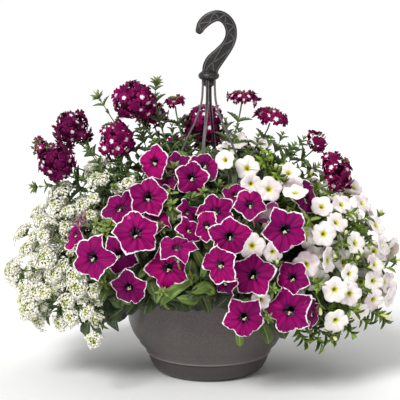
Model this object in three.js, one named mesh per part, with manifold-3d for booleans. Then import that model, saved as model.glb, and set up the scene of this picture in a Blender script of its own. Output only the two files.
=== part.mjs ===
// Mixed hanging basket: petunias, verbena, million bells and sweet alyssum in a round pot.
// Millimetres, +Z up, origin at the centre of the saucer's underside, front towards -Y.
import * as THREE from 'three';
import { mergeVertices } from 'three/addons/utils/BufferGeometryUtils.js';
import Module from 'manifold-3d';

const wasm = await Module();
wasm.setup();

// Driving dimensions
const GAP = 0.3;
const POT_SIDES = 24;
const WALL = 2.5;
const RIM_RADIUS = 125;
const RIM_TOP = 136;
const RIM_BOTTOM = 120.5;
const FLANGE_INNER = 111;
const FLANGE_UNDERSIDE = 133;
const SAUCER_BASE_RADIUS = 74;
const SAUCER_TOP_RADIUS = 92.5;
const SAUCER_HEIGHT = 28;
const SAUCER_FLOOR = 3;
const POT_IN_SAUCER = 3.1;
const SOIL_TOP = 124;
const STRAND_WIDTH = 4.5;
const STRAND_THICKNESS = 2.4;
const STRAND_FOOT_RADIUS = 116;
const STRAND_ANGLES = { front: 257, right: 347, back: 77, left: 167 };
const COLLAR_BOTTOM = 441;
const COLLAR_TOP = 455;
const HOOK_THICKNESS = 9;
const RIDGE_HEIGHT = 0.7;
const RIDGE_WIDTH = 1.4;
const STEM_RADIUS = 5;
const STEM_FOOT = 96;
const HOLE_RADIUS = 5.8;

// The two nested domes of the planting: the flowers' surface and the leafy core under it
const DOME_HEIGHT = 140;
const FLOWER_DOME = { a: 292, b: 188, c: 200 };
const CORE_DOME = { a: 188, b: 132, c: 132 };
const CORE_BOTTOM = 98;
const CORE_CLEARANCE_RADIUS = 129;
const BACK_LEDGE = { radius: 84, top: 196 };
const CORE_SIDES = 18;
const LEAF_ROOT = 0.86;

// Each plant's share of the dome, as compass angles seen from above, and the foot of its stem
const PLANTS = {
  petunia_plant: { from: 212, to: 325, foot: [-15, -62] },
  calibrachoa_plant: { from: -35, to: 45, foot: [66, 8] },
  verbena_plant: { from: 45, to: 140, foot: [8, 52] },
  petunia_back_plant: { from: 45, to: 140, foot: [6, 104] },
  alyssum_plant: { from: 140, to: 212, foot: [-64, 10] },
};

// The front view that the flowers are set out in: a 400 by 400 picture from this eye
const EYE = new THREE.Vector3(-13, -2100, 642);
const AIM = new THREE.Vector3(-13, 0, 260);
const VIEW_FOCAL = 1421;
const VIEW_CENTRE = 200;

// Petunias, back ones first: u, v of the throat in the front view, facing right and up in degrees,
// width in millimetres and turn about the throat
const PETUNIAS = [
  { u: 205, v: 165, right: 8, up: 48, wide: 50, turn: 10 },
  { u: 176, v: 163, right: -8, up: 60, wide: 50, turn: 40 },
  { u: 154, v: 162, right: -38, up: 10, wide: 54, turn: 20 },
  { u: 165, v: 183, right: 0, up: 76, wide: 44, turn: 0 },
  { u: 192, v: 178, right: 3, up: 12, wide: 52, turn: 8 },
  { u: 236, v: 194, right: -10, up: 45, wide: 42, turn: 30 },
  { u: 264, v: 212, right: -135, up: 35, wide: 50, turn: 15 },
  { u: 250, v: 204, right: 5, up: 38, wide: 50, turn: 50 },
  { u: 307, v: 199, right: 55, up: 8, wide: 56, turn: 25 },
  { u: 188, v: 212, right: 55, up: 30, wide: 42, turn: 5 },
  { u: 216, v: 211, right: 5, up: 38, wide: 56, turn: 36 },
  { u: 120, v: 208, right: -12, up: 45, wide: 56, turn: 60 },
  { u: 156, v: 221, right: 20, up: 64, wide: 50, turn: 33 },
  { u: 148, v: 197, right: -5, up: 18, wide: 60, turn: 12 },
  { u: 206, v: 226, right: -38, up: 8, wide: 48, turn: 64 },
  { u: 189, v: 230, right: 38, up: 32, wide: 40, turn: 22 },
  { u: 285, v: 230, right: 8, up: 8, wide: 65, turn: 42 },
  { u: 230, v: 237, right: 2, up: -3, wide: 61, turn: 17 },
  { u: 75, v: 234, right: -62, up: 25, wide: 50, turn: 52 },
  { u: 177, v: 247, right: -5, up: 62, wide: 56, turn: 9 },
  { u: 119, v: 255, right: 4, up: 4, wide: 58, turn: 47 },
  { u: 136, v: 233, right: 8, up: 28, wide: 68, turn: 28 },
  { u: 224, v: 284, right: -50, up: -18, wide: 46, turn: 0 },
  { u: 220, v: 265, right: -38, up: 0, wide: 59, turn: 31 },
  { u: 292, v: 278, right: -18, up: 8, wide: 52, turn: 56 },
  { u: 92, v: 258, right: -28, up: 6, wide: 68, turn: 3 },
  { u: 168, v: 268, right: -14, up: 4, wide: 65, turn: 44 },
  { u: 253, v: 275, right: -6, up: 7, wide: 65, turn: 15 },
  { u: 129, v: 288, right: -4, up: -20, wide: 57, turn: 26 },
  { u: 313, v: 314, right: 60, up: 0, wide: 48, turn: 12 },
  { u: 289, v: 311, right: -22, up: 0, wide: 70, turn: 39 },
  { u: 244, v: 318, right: 0, up: -8, wide: 63, turn: 50 },
];

// Petunias on the far side: compass angle and rise on the flower dome
const BACK_PETUNIAS = [
  { compass: 62, rise: 20, wide: 60, turn: 12 },
  { compass: 84, rise: 6, wide: 62, turn: 31 },
  { compass: 103, rise: 24, wide: 58, turn: 50 },
  { compass: 124, rise: 10, wide: 60, turn: 22 },
];

// Verbena heads: u, v of the middle in the front view, distance behind the pot's axis, radius
const VERBENA_HEADS = [
  { u: 134, v: 101, back: 0, radius: 32, flat: 1 },
  { u: 152, v: 114, back: 58, radius: 24, flat: 1 },
  { u: 71.5, v: 129, back: 28, radius: 29, flat: 1 },
  { u: 57, v: 161, back: -22, radius: 29, flat: 1 },
  { u: 117, v: 140, back: -15, radius: 28, flat: 1 },
  { u: 175, v: 103, back: 30, radius: 16, flat: 0.6 },
  { u: 204, v: 125, back: 60, radius: 33, flat: 1 },
  { u: 242, v: 99, back: 20, radius: 23, flat: 0.55 },
  { u: 271, v: 118, back: 42, radius: 26, flat: 0.6 },
  { u: 317, v: 142, back: 10, radius: 19, flat: 0.8 },
  { u: 337, v: 173, back: -10, radius: 27, flat: 1 },
];

// Verbena heads on the far side, fused to their plant: compass angle, rise and radius
const BACK_VERBENA = [
  { compass: 66, rise: 48, radius: 26 },
  { compass: 112, rise: 50, radius: 26 },
];

// Million bells: u, v in the front view, facing right and up, width, and how far behind the dome;
// the first ones, close to the hanger, have the fewest ways up and are grown before the verbena stems
const HANGER_BELLS = 2;
const BELLS = [
  { u: 228, v: 149, right: 10, up: 60, wide: 30, behind: 30 },
  { u: 237, v: 140, right: 5, up: 45, wide: 34 },
  { u: 261, v: 143, right: 15, up: 70, wide: 34 },
  { u: 224, v: 169, right: -25, up: 20, wide: 30 },
  { u: 247, v: 168, right: -5, up: 22, wide: 37 },
  { u: 251, v: 184, right: 0, up: 8, wide: 30 },
  { u: 269, v: 189, right: 5, up: 25, wide: 38 },
  { u: 289, v: 172, right: 10, up: 50, wide: 36 },
  { u: 294, v: 187, right: -5, up: 12, wide: 32 },
  { u: 289, v: 203, right: -10, up: 70, wide: 38 },
  { u: 324, v: 234, right: 12, up: 15, wide: 37 },
  { u: 337, v: 222, right: 30, up: 40, wide: 34 },
  { u: 356, v: 243, right: 40, up: 25, wide: 36 },
  { u: 306, v: 265, right: 5, up: 0, wide: 40 },
  { u: 329, v: 260, right: 55, up: 5, wide: 38 },
  { u: 350, v: 294, right: 12, up: 0, wide: 36 },
  { u: 350, v: 274, right: 30, up: 10, wide: 30 },
  { u: 335, v: 290, right: 10, up: 5, wide: 38 },
  { u: 376, v: 264, right: 50, up: 30, wide: 34 },
  { u: 374, v: 281, right: 30, up: 5, wide: 34 },
  { u: 386, v: 282, right: 60, up: 0, wide: 32 },
  { u: 374, v: 300, right: 30, up: -10, wide: 34 },
  { u: 390, v: 297, right: 50, up: -5, wide: 30 },
  { u: 336, v: 321, right: 10, up: -10, wide: 36 },
  { u: 354, v: 187, right: 40, up: 45, wide: 32 },
  { u: 363, v: 203, right: 45, up: 40, wide: 32 },
  { u: 377, v: 225, right: 50, up: 30, wide: 32 },
  { u: 383, v: 245, right: 55, up: 20, wide: 32 },
  { u: 342, v: 204, right: 25, up: 40, wide: 32 },
  { u: 322, v: 206, right: 10, up: 40, wide: 34 },
  { u: 252, v: 246, right: -5, up: 10, wide: 38 },
  { u: 273, v: 252, right: 10, up: 5, wide: 30 },
  { u: 261, v: 300, right: 5, up: 0, wide: 28, behind: 6 },
];

// Flowers that fill their plant's share of the dome with no listed place: how many, and how wide
const BACK_BELLS = 5;
const ALYSSUM_HEADS = 16;
const ALYSSUM_RADIUS = 18;

// Leaves of each plant: how many places are tried, size, stations along the blade, the lowest and
// highest rise of their roots on the core, and how low their tips may hang
const LEAVES = {
  petunia_plant: { count: 40, long: 62, wide: 27, stations: 1, lowest: 2, highest: 80, floor: 136 },
  petunia_back_plant: { count: 20, long: 58, wide: 26, stations: 1, lowest: 0, highest: 20, floor: 90 },
  verbena_plant: { count: 30, long: 58, wide: 22, stations: 0, lowest: 26, highest: 84, floor: 90 },
  calibrachoa_plant: { count: 38, long: 58, wide: 17, stations: 0, lowest: -6, highest: 80, floor: 40 },
  alyssum_plant: { count: 38, long: 58, wide: 15, stations: 0, lowest: -6, highest: 80, floor: 40 },
};

// Petunia leaves that hang over the front of the pot: u, v of the tip and facing
const FRINGE_LEAVES = [
  { u: 158, v: 308, right: -20 },
  { u: 172, v: 311, right: 0 },
  { u: 187, v: 308, right: 10 },
  { u: 202, v: 314, right: 0 },
  { u: 216, v: 300, right: 10 },
  { u: 268, v: 345, right: 20 },
  { u: 284, v: 340, right: 30 },
  { u: 140, v: 312, right: -25 },
];

const COLOURS = {
  pot: 0x5d5755,
  saucer: 0x4a4543,
  hanger: 0x454140,
  soil: 0x3a2a1e,
  petunia: 0xb4006e,
  verbena: 0x86004a,
  petuniaGreen: 0x5a8a32,
  verbenaGreen: 0x3f6a30,
  bells: 0xe9dfe0,
  alyssum: 0xe9e8d2,
};

// Small helpers

const radians = (degrees) => (degrees * Math.PI) / 180;
const point = (x, y, z) => new THREE.Vector3(x, y, z);

// A repeatable draw between 0 and 1 for a whole number
function draw(seed) {
  const wave = Math.sin(seed * 12.9898 + 4.1414) * 43758.5453;
  return wave - Math.floor(wave);
}

// Joins two rings of points, where the longer ring has a whole multiple of the shorter one's points
function joinRings(faces, near, far) {
  const growing = far.length >= near.length;
  const small = growing ? near : far;
  const large = growing ? far : near;
  const share = large.length / small.length;
  const half = Math.ceil(share / 2);
  const put = (a, b, c) => faces.push(growing ? [a, b, c] : [a, c, b]);
  small.forEach((here, i) => {
    const next = small[(i + 1) % small.length];
    for (let j = 0; j < share; j += 1) {
      const first = large[i * share + j];
      const second = large[(i * share + j + 1) % large.length];
      const alone = small.length === 1;
      put(alone || j < half ? here : next, first, second);
      if (!alone && j === half - 1) put(here, second, next);
    }
  });
}

// Turns points and faces into a solid, with its faces turned outwards
function solidOf(points, faces) {
  const geometry = new THREE.BufferGeometry();
  const numbers = points.flatMap((p) => p.toArray());
  geometry.setAttribute('position', new THREE.Float32BufferAttribute(numbers, 3));
  geometry.setIndex(faces.flat());
  return solidFrom(geometry);
}

function solidFrom(geometry) {
  const bare = geometry.clone();
  bare.deleteAttribute('normal');
  bare.deleteAttribute('uv');
  const merged = mergeVertices(bare, 1e-3);
  const position = merged.getAttribute('position').array;
  const index = merged.getIndex().array;
  const cornerAt = (k) => point(position[3 * k], position[3 * k + 1], position[3 * k + 2]);
  const corners = [];
  let volume = 0;
  for (let i = 0; i < index.length; i += 3) {
    const [a, b, c] = [index[i], index[i + 1], index[i + 2]];
    if (a === b || b === c || c === a) continue;
    corners.push(a, b, c);
    const [p, q, r] = [a, b, c].map(cornerAt);
    volume += p.dot(q.cross(r));
  }
  if (volume < 0) {
    for (let i = 0; i < corners.length; i += 3) [corners[i], corners[i + 1]] = [corners[i + 1], corners[i]];
  }
  return new wasm.Manifold(
    new wasm.Mesh({
      numProp: 3,
      vertProperties: Float32Array.from(position),
      triVerts: Uint32Array.from(corners),
    }),
  );
}

// A closed body that runs through a list of rings; a ring of one point closes to a tip
function ringBody(rings) {
  const points = [];
  const faces = [];
  const numbered = rings.map((ring) => ring.map((p) => points.push(p) - 1));
  for (let i = 1; i < numbered.length; i += 1) joinRings(faces, numbered[i - 1], numbered[i]);
  const cap = (ring, flip) => {
    for (let i = 1; i < ring.length - 1; i += 1) {
      faces.push(flip ? [ring[0], ring[i + 1], ring[i]] : [ring[0], ring[i], ring[i + 1]]);
    }
  };
  cap(numbered[0], false);
  cap(numbered[numbered.length - 1], true);
  return solidOf(points, faces);
}

// A rod along a path with its own width and depth at every point; outward sets the flat side
function rod(path, widths, depths, sides, outward) {
  const rings = path.map((p, i) => {
    const before = path[Math.max(i - 1, 0)];
    const after = path[Math.min(i + 1, path.length - 1)];
    const along = after.clone().sub(before).normalize();
    const side = outward.clone().cross(along).normalize();
    const rise = along.clone().cross(side);
    const ring = [];
    for (let k = 0; k < sides; k += 1) {
      const angle = radians(360 / sides) * (k + 0.5);
      const reach = sides === 4 ? Math.SQRT1_2 : 0.5;
      ring.push(
        p.clone()
          .addScaledVector(side, Math.cos(angle) * widths[i] * reach)
          .addScaledVector(rise, Math.sin(angle) * depths[i] * reach),
      );
    }
    return ring;
  });
  return ringBody(rings);
}

function stemRod(path, radii, sides = 4) {
  const along = path[path.length - 1].clone().sub(path[0]).normalize();
  const outward = Math.abs(along.z) > 0.8 ? point(0, 1, 0.1) : point(0, 0, 1);
  const widths = radii.map((r) => 2 * r);
  return rod(path, widths, widths, sides, outward);
}

function turned(profile, sides = POT_SIDES) {
  const outline = profile.map(([radius, height]) => new THREE.Vector2(radius, height));
  const geometry = new THREE.LatheGeometry(outline, sides);
  geometry.rotateX(Math.PI / 2);
  return solidFrom(geometry);
}

function block(wide, deep, tall, at, turnZ = 0, turnY = 0) {
  const geometry = new THREE.BoxGeometry(wide, deep, tall);
  geometry.rotateY(turnY);
  geometry.rotateZ(turnZ);
  geometry.translate(at.x, at.y, at.z);
  return solidFrom(geometry);
}

// Where things stand on the domes and in the front view

function compassOf(p) {
  return Math.atan2(p.y, p.x);
}

function reachAt(dome, compass) {
  return 1 / Math.hypot(Math.cos(compass) / dome.a, Math.sin(compass) / dome.b);
}

function onDome(dome, compass, rise, scale = 1) {
  const flat = reachAt(dome, compass) * Math.cos(rise) * scale;
  const height = DOME_HEIGHT + dome.c * Math.sin(rise) * scale;
  return point(flat * Math.cos(compass), flat * Math.sin(compass), height);
}

function riseOf(dome, p) {
  const flat = Math.hypot(p.x, p.y) / reachAt(dome, compassOf(p));
  return Math.atan2((p.z - DOME_HEIGHT) / dome.c, flat);
}

function outwardAt(dome, p) {
  return point(p.x / dome.a ** 2, p.y / dome.b ** 2, (p.z - DOME_HEIGHT) / dome.c ** 2).normalize();
}

function sightLine(u, v) {
  const ahead = AIM.clone().sub(EYE).normalize();
  const right = point(1, 0, 0);
  const up = right.clone().cross(ahead);
  return ahead
    .multiplyScalar(VIEW_FOCAL)
    .addScaledVector(right, u - VIEW_CENTRE)
    .addScaledVector(up, VIEW_CENTRE - v)
    .normalize();
}

// The point of the flower dome seen at u, v, or the nearest one to that line of sight
function seenOnDome(u, v) {
  const line = sightLine(u, v);
  const { a, b, c } = FLOWER_DOME;
  const squash = (p) => point(p.x / a, p.y / b, p.z / c);
  const start = squash(EYE.clone().sub(point(0, 0, DOME_HEIGHT)));
  const step = squash(line);
  const half = start.dot(step);
  const size = step.lengthSq();
  const root = half * half - size * (start.lengthSq() - 1);
  const travel = (-half - Math.sqrt(Math.max(root, 0))) / size;
  return EYE.clone().addScaledVector(line, travel);
}

function seenAtDepth(u, v, y) {
  const line = sightLine(u, v);
  return EYE.clone().addScaledVector(line, (y - EYE.y) / line.y);
}

function facingOf(right, up) {
  const [turn, lift] = [radians(right), radians(up)];
  return point(Math.sin(turn) * Math.cos(lift), -Math.cos(turn) * Math.cos(lift), Math.sin(lift));
}

// Places a body drawn with its opening towards +Z
function standAt(at, facing, turn = 0) {
  const helper = Math.abs(facing.z) > 0.95 ? point(0, 1, 0) : point(0, 0, 1);
  const side = helper.clone().cross(facing).normalize();
  const rise = facing.clone().cross(side);
  const basis = new THREE.Matrix4().makeBasis(side, rise, facing).setPosition(at);
  return basis.multiply(new THREE.Matrix4().makeRotationZ(radians(turn)));
}

const placed = (rings, matrix) => rings.map((ring) => ring.map((p) => p.clone().applyMatrix4(matrix)));

function circle(radius, height, count, offset = 0) {
  return Array.from({ length: count }, (_, k) => {
    const angle = radians((360 / count) * k + offset);
    return point(radius * Math.cos(angle), radius * Math.sin(angle), height);
  });
}

// What already stands, so that later pieces are bent clear of it
const standing = [];

function keepClearOf(owner, solid, isCore = false) {
  standing.push({ owner, solid, isCore, box: solid.boundingBox() });
}

function boxesMeet(one, other, margin) {
  return [0, 1, 2].every(
    (k) => one.min[k] - margin < other.max[k] && other.min[k] - margin < one.max[k],
  );
}

// True if the body meets nobody else's, also when nudged either way along the given direction;
// what it carries only has to be clear of it as it stands, and it may join its own plant
function isClear(owner, solid, nudge, carried = '') {
  const box = solid.boundingBox();
  const near = standing.filter((other) => other.owner !== owner && boxesMeet(box, other.box, 1));
  return near.every((other) =>
    (other.owner === carried ? [0] : [-0.6, 0, 0.6]).every((shift) => {
      const moved = solid.translate(nudge.x * shift, nudge.y * shift, nudge.z * shift);
      return moved.intersect(other.solid).volume() < 1e-6;
    }),
  );
}

// True if the body meets no other leaf or stalk of its own plant; its core doesn't count
function missesItsOwn(owner, solid) {
  const box = solid.boundingBox();
  const near = standing.filter(
    (other) => other.owner === owner && !other.isCore && boxesMeet(box, other.box, 0),
  );
  return near.every((other) => solid.intersect(other.solid).volume() < 1e-6);
}

// Pot, saucer and soil

// The saucer's outline as radius and height, rounded in towards its flat underside
const FOOT_OUTLINE = [
  [SAUCER_BASE_RADIUS, 0], [84.5, 7.5], [90, 18], [SAUCER_TOP_RADIUS, SAUCER_HEIGHT],
];

// The same outline moved in towards the axis, from a floor up
function insideFoot(inset, floor) {
  const next = FOOT_OUTLINE.findIndex(([, height]) => height > floor);
  const [lowRadius, lowHeight] = FOOT_OUTLINE[next - 1];
  const [highRadius, highHeight] = FOOT_OUTLINE[next];
  const share = (floor - lowHeight) / (highHeight - lowHeight);
  const corner = [lowRadius + (highRadius - lowRadius) * share, floor];
  return [corner, ...FOOT_OUTLINE.slice(next)].map(([radius, height]) => [radius - inset, height]);
}

function makePotBody() {
  const underside = SAUCER_FLOOR + GAP;
  const foot = insideFoot(POT_IN_SAUCER, underside).slice(0, -1);
  const outside = [
    [0, underside], ...foot,
    [SAUCER_TOP_RADIUS - POT_IN_SAUCER, SAUCER_HEIGHT + GAP], [94, SAUCER_HEIGHT + GAP],
    [96, 34], [103, 43.5], [104.6, 44.5], [109, 50], [115, 59], [119.5, 70], [122, 79.5],
    [123.4, RIM_BOTTOM - 1], [RIM_RADIUS, RIM_BOTTOM],
    [RIM_RADIUS, RIM_TOP - 1], [RIM_RADIUS - 1, RIM_TOP],
  ];
  const inside = [
    [FLANGE_INNER, RIM_TOP], [FLANGE_INNER, FLANGE_UNDERSIDE], [RIM_RADIUS - WALL - 1.4, FLANGE_UNDERSIDE],
    [119.4, 80], [112.2, 60], [93, 36.5], [87, 27],
    ...insideFoot(POT_IN_SAUCER + WALL, underside + WALL).slice(0, -1).reverse(), [0, underside + WALL],
  ];
  return turned([...outside, ...inside]);
}

function strandFoot(angle) {
  const turn = radians(angle);
  return point(STRAND_FOOT_RADIUS * Math.cos(turn), STRAND_FOOT_RADIUS * Math.sin(turn), 0);
}

function makePot() {
  const height = (RIM_TOP + FLANGE_UNDERSIDE) / 2;
  return Object.values(STRAND_ANGLES).reduce((pot, angle) => {
    const slot = strandFoot(angle).setZ(height);
    const cut = block(STRAND_THICKNESS + 2 * GAP, STRAND_WIDTH + 2 * GAP, 8, slot, radians(angle));
    return pot.subtract(cut);
  }, makePotBody());
}

function makeSaucer() {
  const inside = insideFoot(WALL - GAP, SAUCER_FLOOR).reverse();
  return turned([[0, 0], ...FOOT_OUTLINE, ...inside, [0, SAUCER_FLOOR]]);
}

function makeSoil() {
  const body = turned([
    [0, 6.2], [75.6, 6.2], [83.8, 18], [86.4, 27.3], [92.4, 36.8], [111.6, 60.3], [118.8, 80.2],
    [120, SOIL_TOP - 4], [100, SOIL_TOP - 1], [0, SOIL_TOP],
  ]);
  return Object.values(PLANTS).reduce((soil, { foot }) => {
    const hole = turned([
      [0, STEM_FOOT - GAP], [HOLE_RADIUS, STEM_FOOT - GAP], [HOLE_RADIUS, SOIL_TOP + 5], [0, SOIL_TOP + 5],
    ], 8);
    return soil.subtract(hole.translate(foot[0], foot[1], 0));
  }, body);
}

// Hanger: strands, collar and hook

function makeStrand(angle) {
  const turn = radians(angle);
  const out = point(Math.cos(turn), Math.sin(turn), 0);
  const at = (radius, height) => out.clone().multiplyScalar(radius).setZ(height);
  const path = [
    at(9.2, COLLAR_BOTTOM + 8), at(9.2, 428), at(11.5, 405), at(21, 377), at(36, 345), at(104, 170),
    at(114, 146), at(STRAND_FOOT_RADIUS, 138), at(STRAND_FOOT_RADIUS, 128),
  ];
  const strip = rod(path, path.map(() => STRAND_WIDTH), path.map(() => STRAND_THICKNESS), 4, out);
  const barb = block(STRAND_THICKNESS, 9, 4, at(STRAND_FOOT_RADIUS, FLANGE_UNDERSIDE - 2 - GAP), turn);
  return strip.add(barb);
}

// Middle line of the hook band with its width, from the tip to the collar
const HOOK_LINE = [
  [-13.5, 514.5, 12], [-9.5, 522, 15.6], [-1, 530, 17], [10.5, 534.8, 16.2], [19.5, 533.4, 15.8],
  [26.5, 528, 16.4], [31.4, 519.5, 17], [33, 510.5, 17], [31.6, 500.5, 17.4], [26.2, 489.6, 18.6],
  [17.6, 479, 21.5], [7.6, 467.6, 25], [3, 459, 24.4], [1.5, 450, 23],
];

function makeHookBand() {
  const line = new THREE.CatmullRomCurve3(HOOK_LINE.map(([x, z]) => point(x, 0, z)));
  const widthLine = new THREE.CatmullRomCurve3(HOOK_LINE.map(([, , width], i) => point(i, width, 0)));
  const steps = 15;
  const [leftSide, rightSide] = [[], []];
  for (let i = 0; i <= steps; i += 1) {
    const middle = line.getPoint(i / steps);
    const along = line.getTangent(i / steps);
    const half = widthLine.getPoint(i / steps).y / 2;
    leftSide.push(new THREE.Vector2(middle.x + along.z * half, middle.z - along.x * half));
    rightSide.push(new THREE.Vector2(middle.x - along.z * half, middle.z + along.x * half));
  }
  const tip = line.getPoint(0).addScaledVector(line.getTangent(0), -5);
  const outline = new THREE.Shape([new THREE.Vector2(tip.x, tip.z), ...leftSide, ...rightSide.reverse()]);
  const geometry = new THREE.ExtrudeGeometry(outline, {
    depth: HOOK_THICKNESS - 2,
    bevelEnabled: true,
    bevelThickness: 1,
    bevelSize: 1,
    bevelOffset: -1,
    bevelSegments: 1,
  });
  geometry.translate(0, 0, -(HOOK_THICKNESS - 2) / 2);
  geometry.rotateX(Math.PI / 2);
  return solidFrom(geometry);
}

// Raised veins that zigzag along both faces of the hook
function makeHookRidges() {
  const line = new THREE.CatmullRomCurve3(HOOK_LINE.map(([x, z]) => point(x, 0, z)));
  const bars = 5;
  const ridges = [];
  for (let i = 0; i < bars; i += 1) {
    const [start, end] = [line.getPoint((i + 0.4) / (bars + 1)), line.getPoint((i + 1.6) / (bars + 1))];
    const middle = start.clone().lerp(end, 0.5);
    const along = end.clone().sub(start);
    const slant = Math.atan2(-along.z, along.x) + radians(i % 2 ? 42 : -42);
    for (const face of [-1, 1]) {
      const at = middle.clone().setY((face * HOOK_THICKNESS) / 2);
      ridges.push(block(17, 2 * RIDGE_HEIGHT, RIDGE_WIDTH, at, 0, slant));
    }
  }
  return ridges;
}

function makeHook() {
  const collar = turned([
    [0, COLLAR_BOTTOM], [11.5, COLLAR_BOTTOM], [14.6, COLLAR_BOTTOM + 3], [15.2, COLLAR_BOTTOM + 6.5],
    [13, COLLAR_TOP - 4], [8, COLLAR_TOP], [0, COLLAR_TOP],
  ], 12);
  const web = turned([
    [0, 432], [5, 430.5], [7.2, 432.5], [7.2, COLLAR_BOTTOM + 1], [0, COLLAR_BOTTOM + 1],
  ], 12);
  const whole = [makeHookBand(), web, ...makeHookRidges()].reduce((a, b) => a.add(b), collar);
  return Object.values(STRAND_ANGLES).reduce((hook, angle) => {
    const turn = radians(angle);
    const at = point(9.2 * Math.cos(turn), 9.2 * Math.sin(turn), COLLAR_BOTTOM);
    const pocket = block(STRAND_THICKNESS + 2 * GAP, STRAND_WIDTH + 2 * GAP, 2 * (8 + GAP), at, turn);
    return hook.subtract(pocket);
  }, whole);
}

// Flowers

// Petunia drawn with its throat at the origin and its opening towards +Z: a funnel, five pointed
// lobes with a notch between them (a small bloom's are blunt), and a trumpet tube behind
const PETUNIA_TUBE = 27;
const POINTED_FROM = 54;
function petuniaRings(wide, seed) {
  const radius = wide / 2;
  const thickness = 0.9;
  const edge = [];
  const notch = [-36, 0.84, 1.2];
  const plain = [notch, [-14, 1.02, 0.8], [14, 1.02, 0.8]];
  const pointed = [notch, [-19, 0.97, 1.6], [0, 1.04, -0.6], [19, 0.97, 1.6]];
  const lobes = wide > POINTED_FROM ? pointed : plain;
  for (let k = 0; k < 5; k += 1) {
    const swell = 0.96 + 0.08 * draw(seed * 7 + k);
    const curl = 2.4 * (draw(seed * 11 + k) - 0.6);
    for (const [angle, share, rise] of lobes) {
      const turn = radians(72 * k + angle);
      const reach = radius * share * (angle === -36 ? 1 : swell);
      edge.push(point(reach * Math.cos(turn), reach * Math.sin(turn), rise + (angle === -36 ? 0 : curl)));
    }
  }
  const lower = (ring) => ring.map((p) => p.clone().setZ(p.z - thickness));
  return [
    [point(0, 0, -9)],
    circle(radius * 0.46, 0.8, 5, -36),
    edge,
    lower(edge),
    circle(radius * 0.2, -7, 5, -36),
    [point(0, 0, -PETUNIA_TUBE)],
  ];
}

// The cup and the first stretch of stalk behind a flower, which bends after that, and how far its
// bend may lie above the flower
const STUB = 11;
const STALK_RISE = 15;
function stubOf(at, facing, length = STUB) {
  const cup = at.clone().addScaledVector(facing, -(PETUNIA_TUBE + GAP));
  return { cup, bend: cup.clone().addScaledVector(facing, -length) };
}

// Slides a flower towards the viewer, or outwards on the far side, until it meets nothing
function seatPetunia(name, plant, spot, at, facing, slide) {
  const rings = petuniaRings(spot.wide, spot.turn + spot.wide);
  for (let step = 0; step < 60; step += 1) {
    const here = at.clone().addScaledVector(slide, 2 * step);
    const solid = ringBody(placed(rings, standAt(here, facing, spot.turn)));
    const { cup, bend } = stubOf(here, facing);
    const stub = stemRod([cup, bend], [2.9, 1.5], 4);
    if (isClear(name, solid, facing) && isClear(plant, stub, facing.clone().cross(point(0, 0.6, 0.8)))) {
      keepClearOf(name, solid);
      keepClearOf(plant, stub);
      return { name, solid, at: here, facing };
    }
  }
  return noPlaceFor(name);
}

// A head of florets: one star on each side of a many-sided core, the last sides left bare
function floretHead(directions, { core, reach, tip, notch, flat, bare = 1 }) {
  const points = [];
  const faces = [];
  directions.forEach((facing, side) => {
    const closeness = directions.map((other) => other.dot(facing));
    const nearest = Math.max(...closeness.filter((value) => value < 0.999));
    const helper = Math.abs(facing.z) > 0.9 ? point(1, 0, 0) : point(0, 0, 1);
    const across = helper.clone().cross(facing).normalize();
    const above = facing.clone().cross(across);
    const angleOf = (p) => Math.atan2(p.dot(above), p.dot(across));
    const beside = directions.filter((_, k) => Math.abs(closeness[k] - nearest) < 0.01);
    beside.sort((p, q) => angleOf(p) - angleOf(q));
    const corners = beside.map((p, k) => {
      const next = beside[(k + 1) % beside.length];
      return p.clone().add(next).add(facing).normalize();
    });
    const neck = corners.map((p) => points.push(p.clone().multiplyScalar(core)) - 1);
    if (side >= directions.length - bare) {
      for (let k = 1; k < neck.length - 1; k += 1) faces.push([neck[0], neck[k + 1], neck[k]]);
      return;
    }
    const star = [];
    corners.forEach((p, k) => {
      const next = corners[(k + 1) % corners.length];
      const between = p.clone().add(next).normalize();
      const around = notch ? [[p, tip, 0.95], [between, notch, 0.92]] : [[p, tip, 0.95]];
      for (const [way, far, height] of around) {
        const flatWay = way.clone().addScaledVector(facing, -way.dot(facing)).normalize();
        const at = facing.clone().multiplyScalar(reach * height).addScaledVector(flatWay, far);
        star.push(points.push(at) - 1);
      }
    });
    const eye = points.push(facing.clone().multiplyScalar(reach * 0.9)) - 1;
    joinRings(faces, neck, star);
    joinRings(faces, star, [eye]);
  });
  return { points: points.map((p) => p.setZ(p.z * flat)), faces };
}

// Twelve ways out of a ball, and the six ways out of a cube, the last one pointing down
function twelveWays() {
  const low = Math.atan(0.5);
  const belt = (rise, offset) => Array.from({ length: 5 }, (_, k) => {
    const turn = radians(72 * k + offset);
    return point(Math.cos(rise) * Math.cos(turn), Math.cos(rise) * Math.sin(turn), Math.sin(rise));
  });
  return [point(0, 0, 1), ...belt(low, 0), ...belt(-low, 36), point(0, 0, -1)];
}

function sixWays() {
  return [
    point(0, 0, 1), point(1, 0, 0), point(0, 1, 0), point(-1, 0, 0), point(0, -1, 0), point(0, 0, -1),
  ];
}

function headAt(shape, at, facing, turn) {
  const matrix = standAt(at, facing, turn);
  return solidOf(shape.points.map((p) => p.clone().applyMatrix4(matrix)), shape.faces);
}

const VERBENA_CORE = 0.62;
function verbenaHead(radius, flat, notch = 0.24 * radius) {
  const shape = { core: radius * VERBENA_CORE, reach: radius, tip: radius * 0.5, notch, flat };
  shape.bare = flat < 0.7 ? 6 : 1;
  return floretHead(twelveWays(), shape);
}

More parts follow.
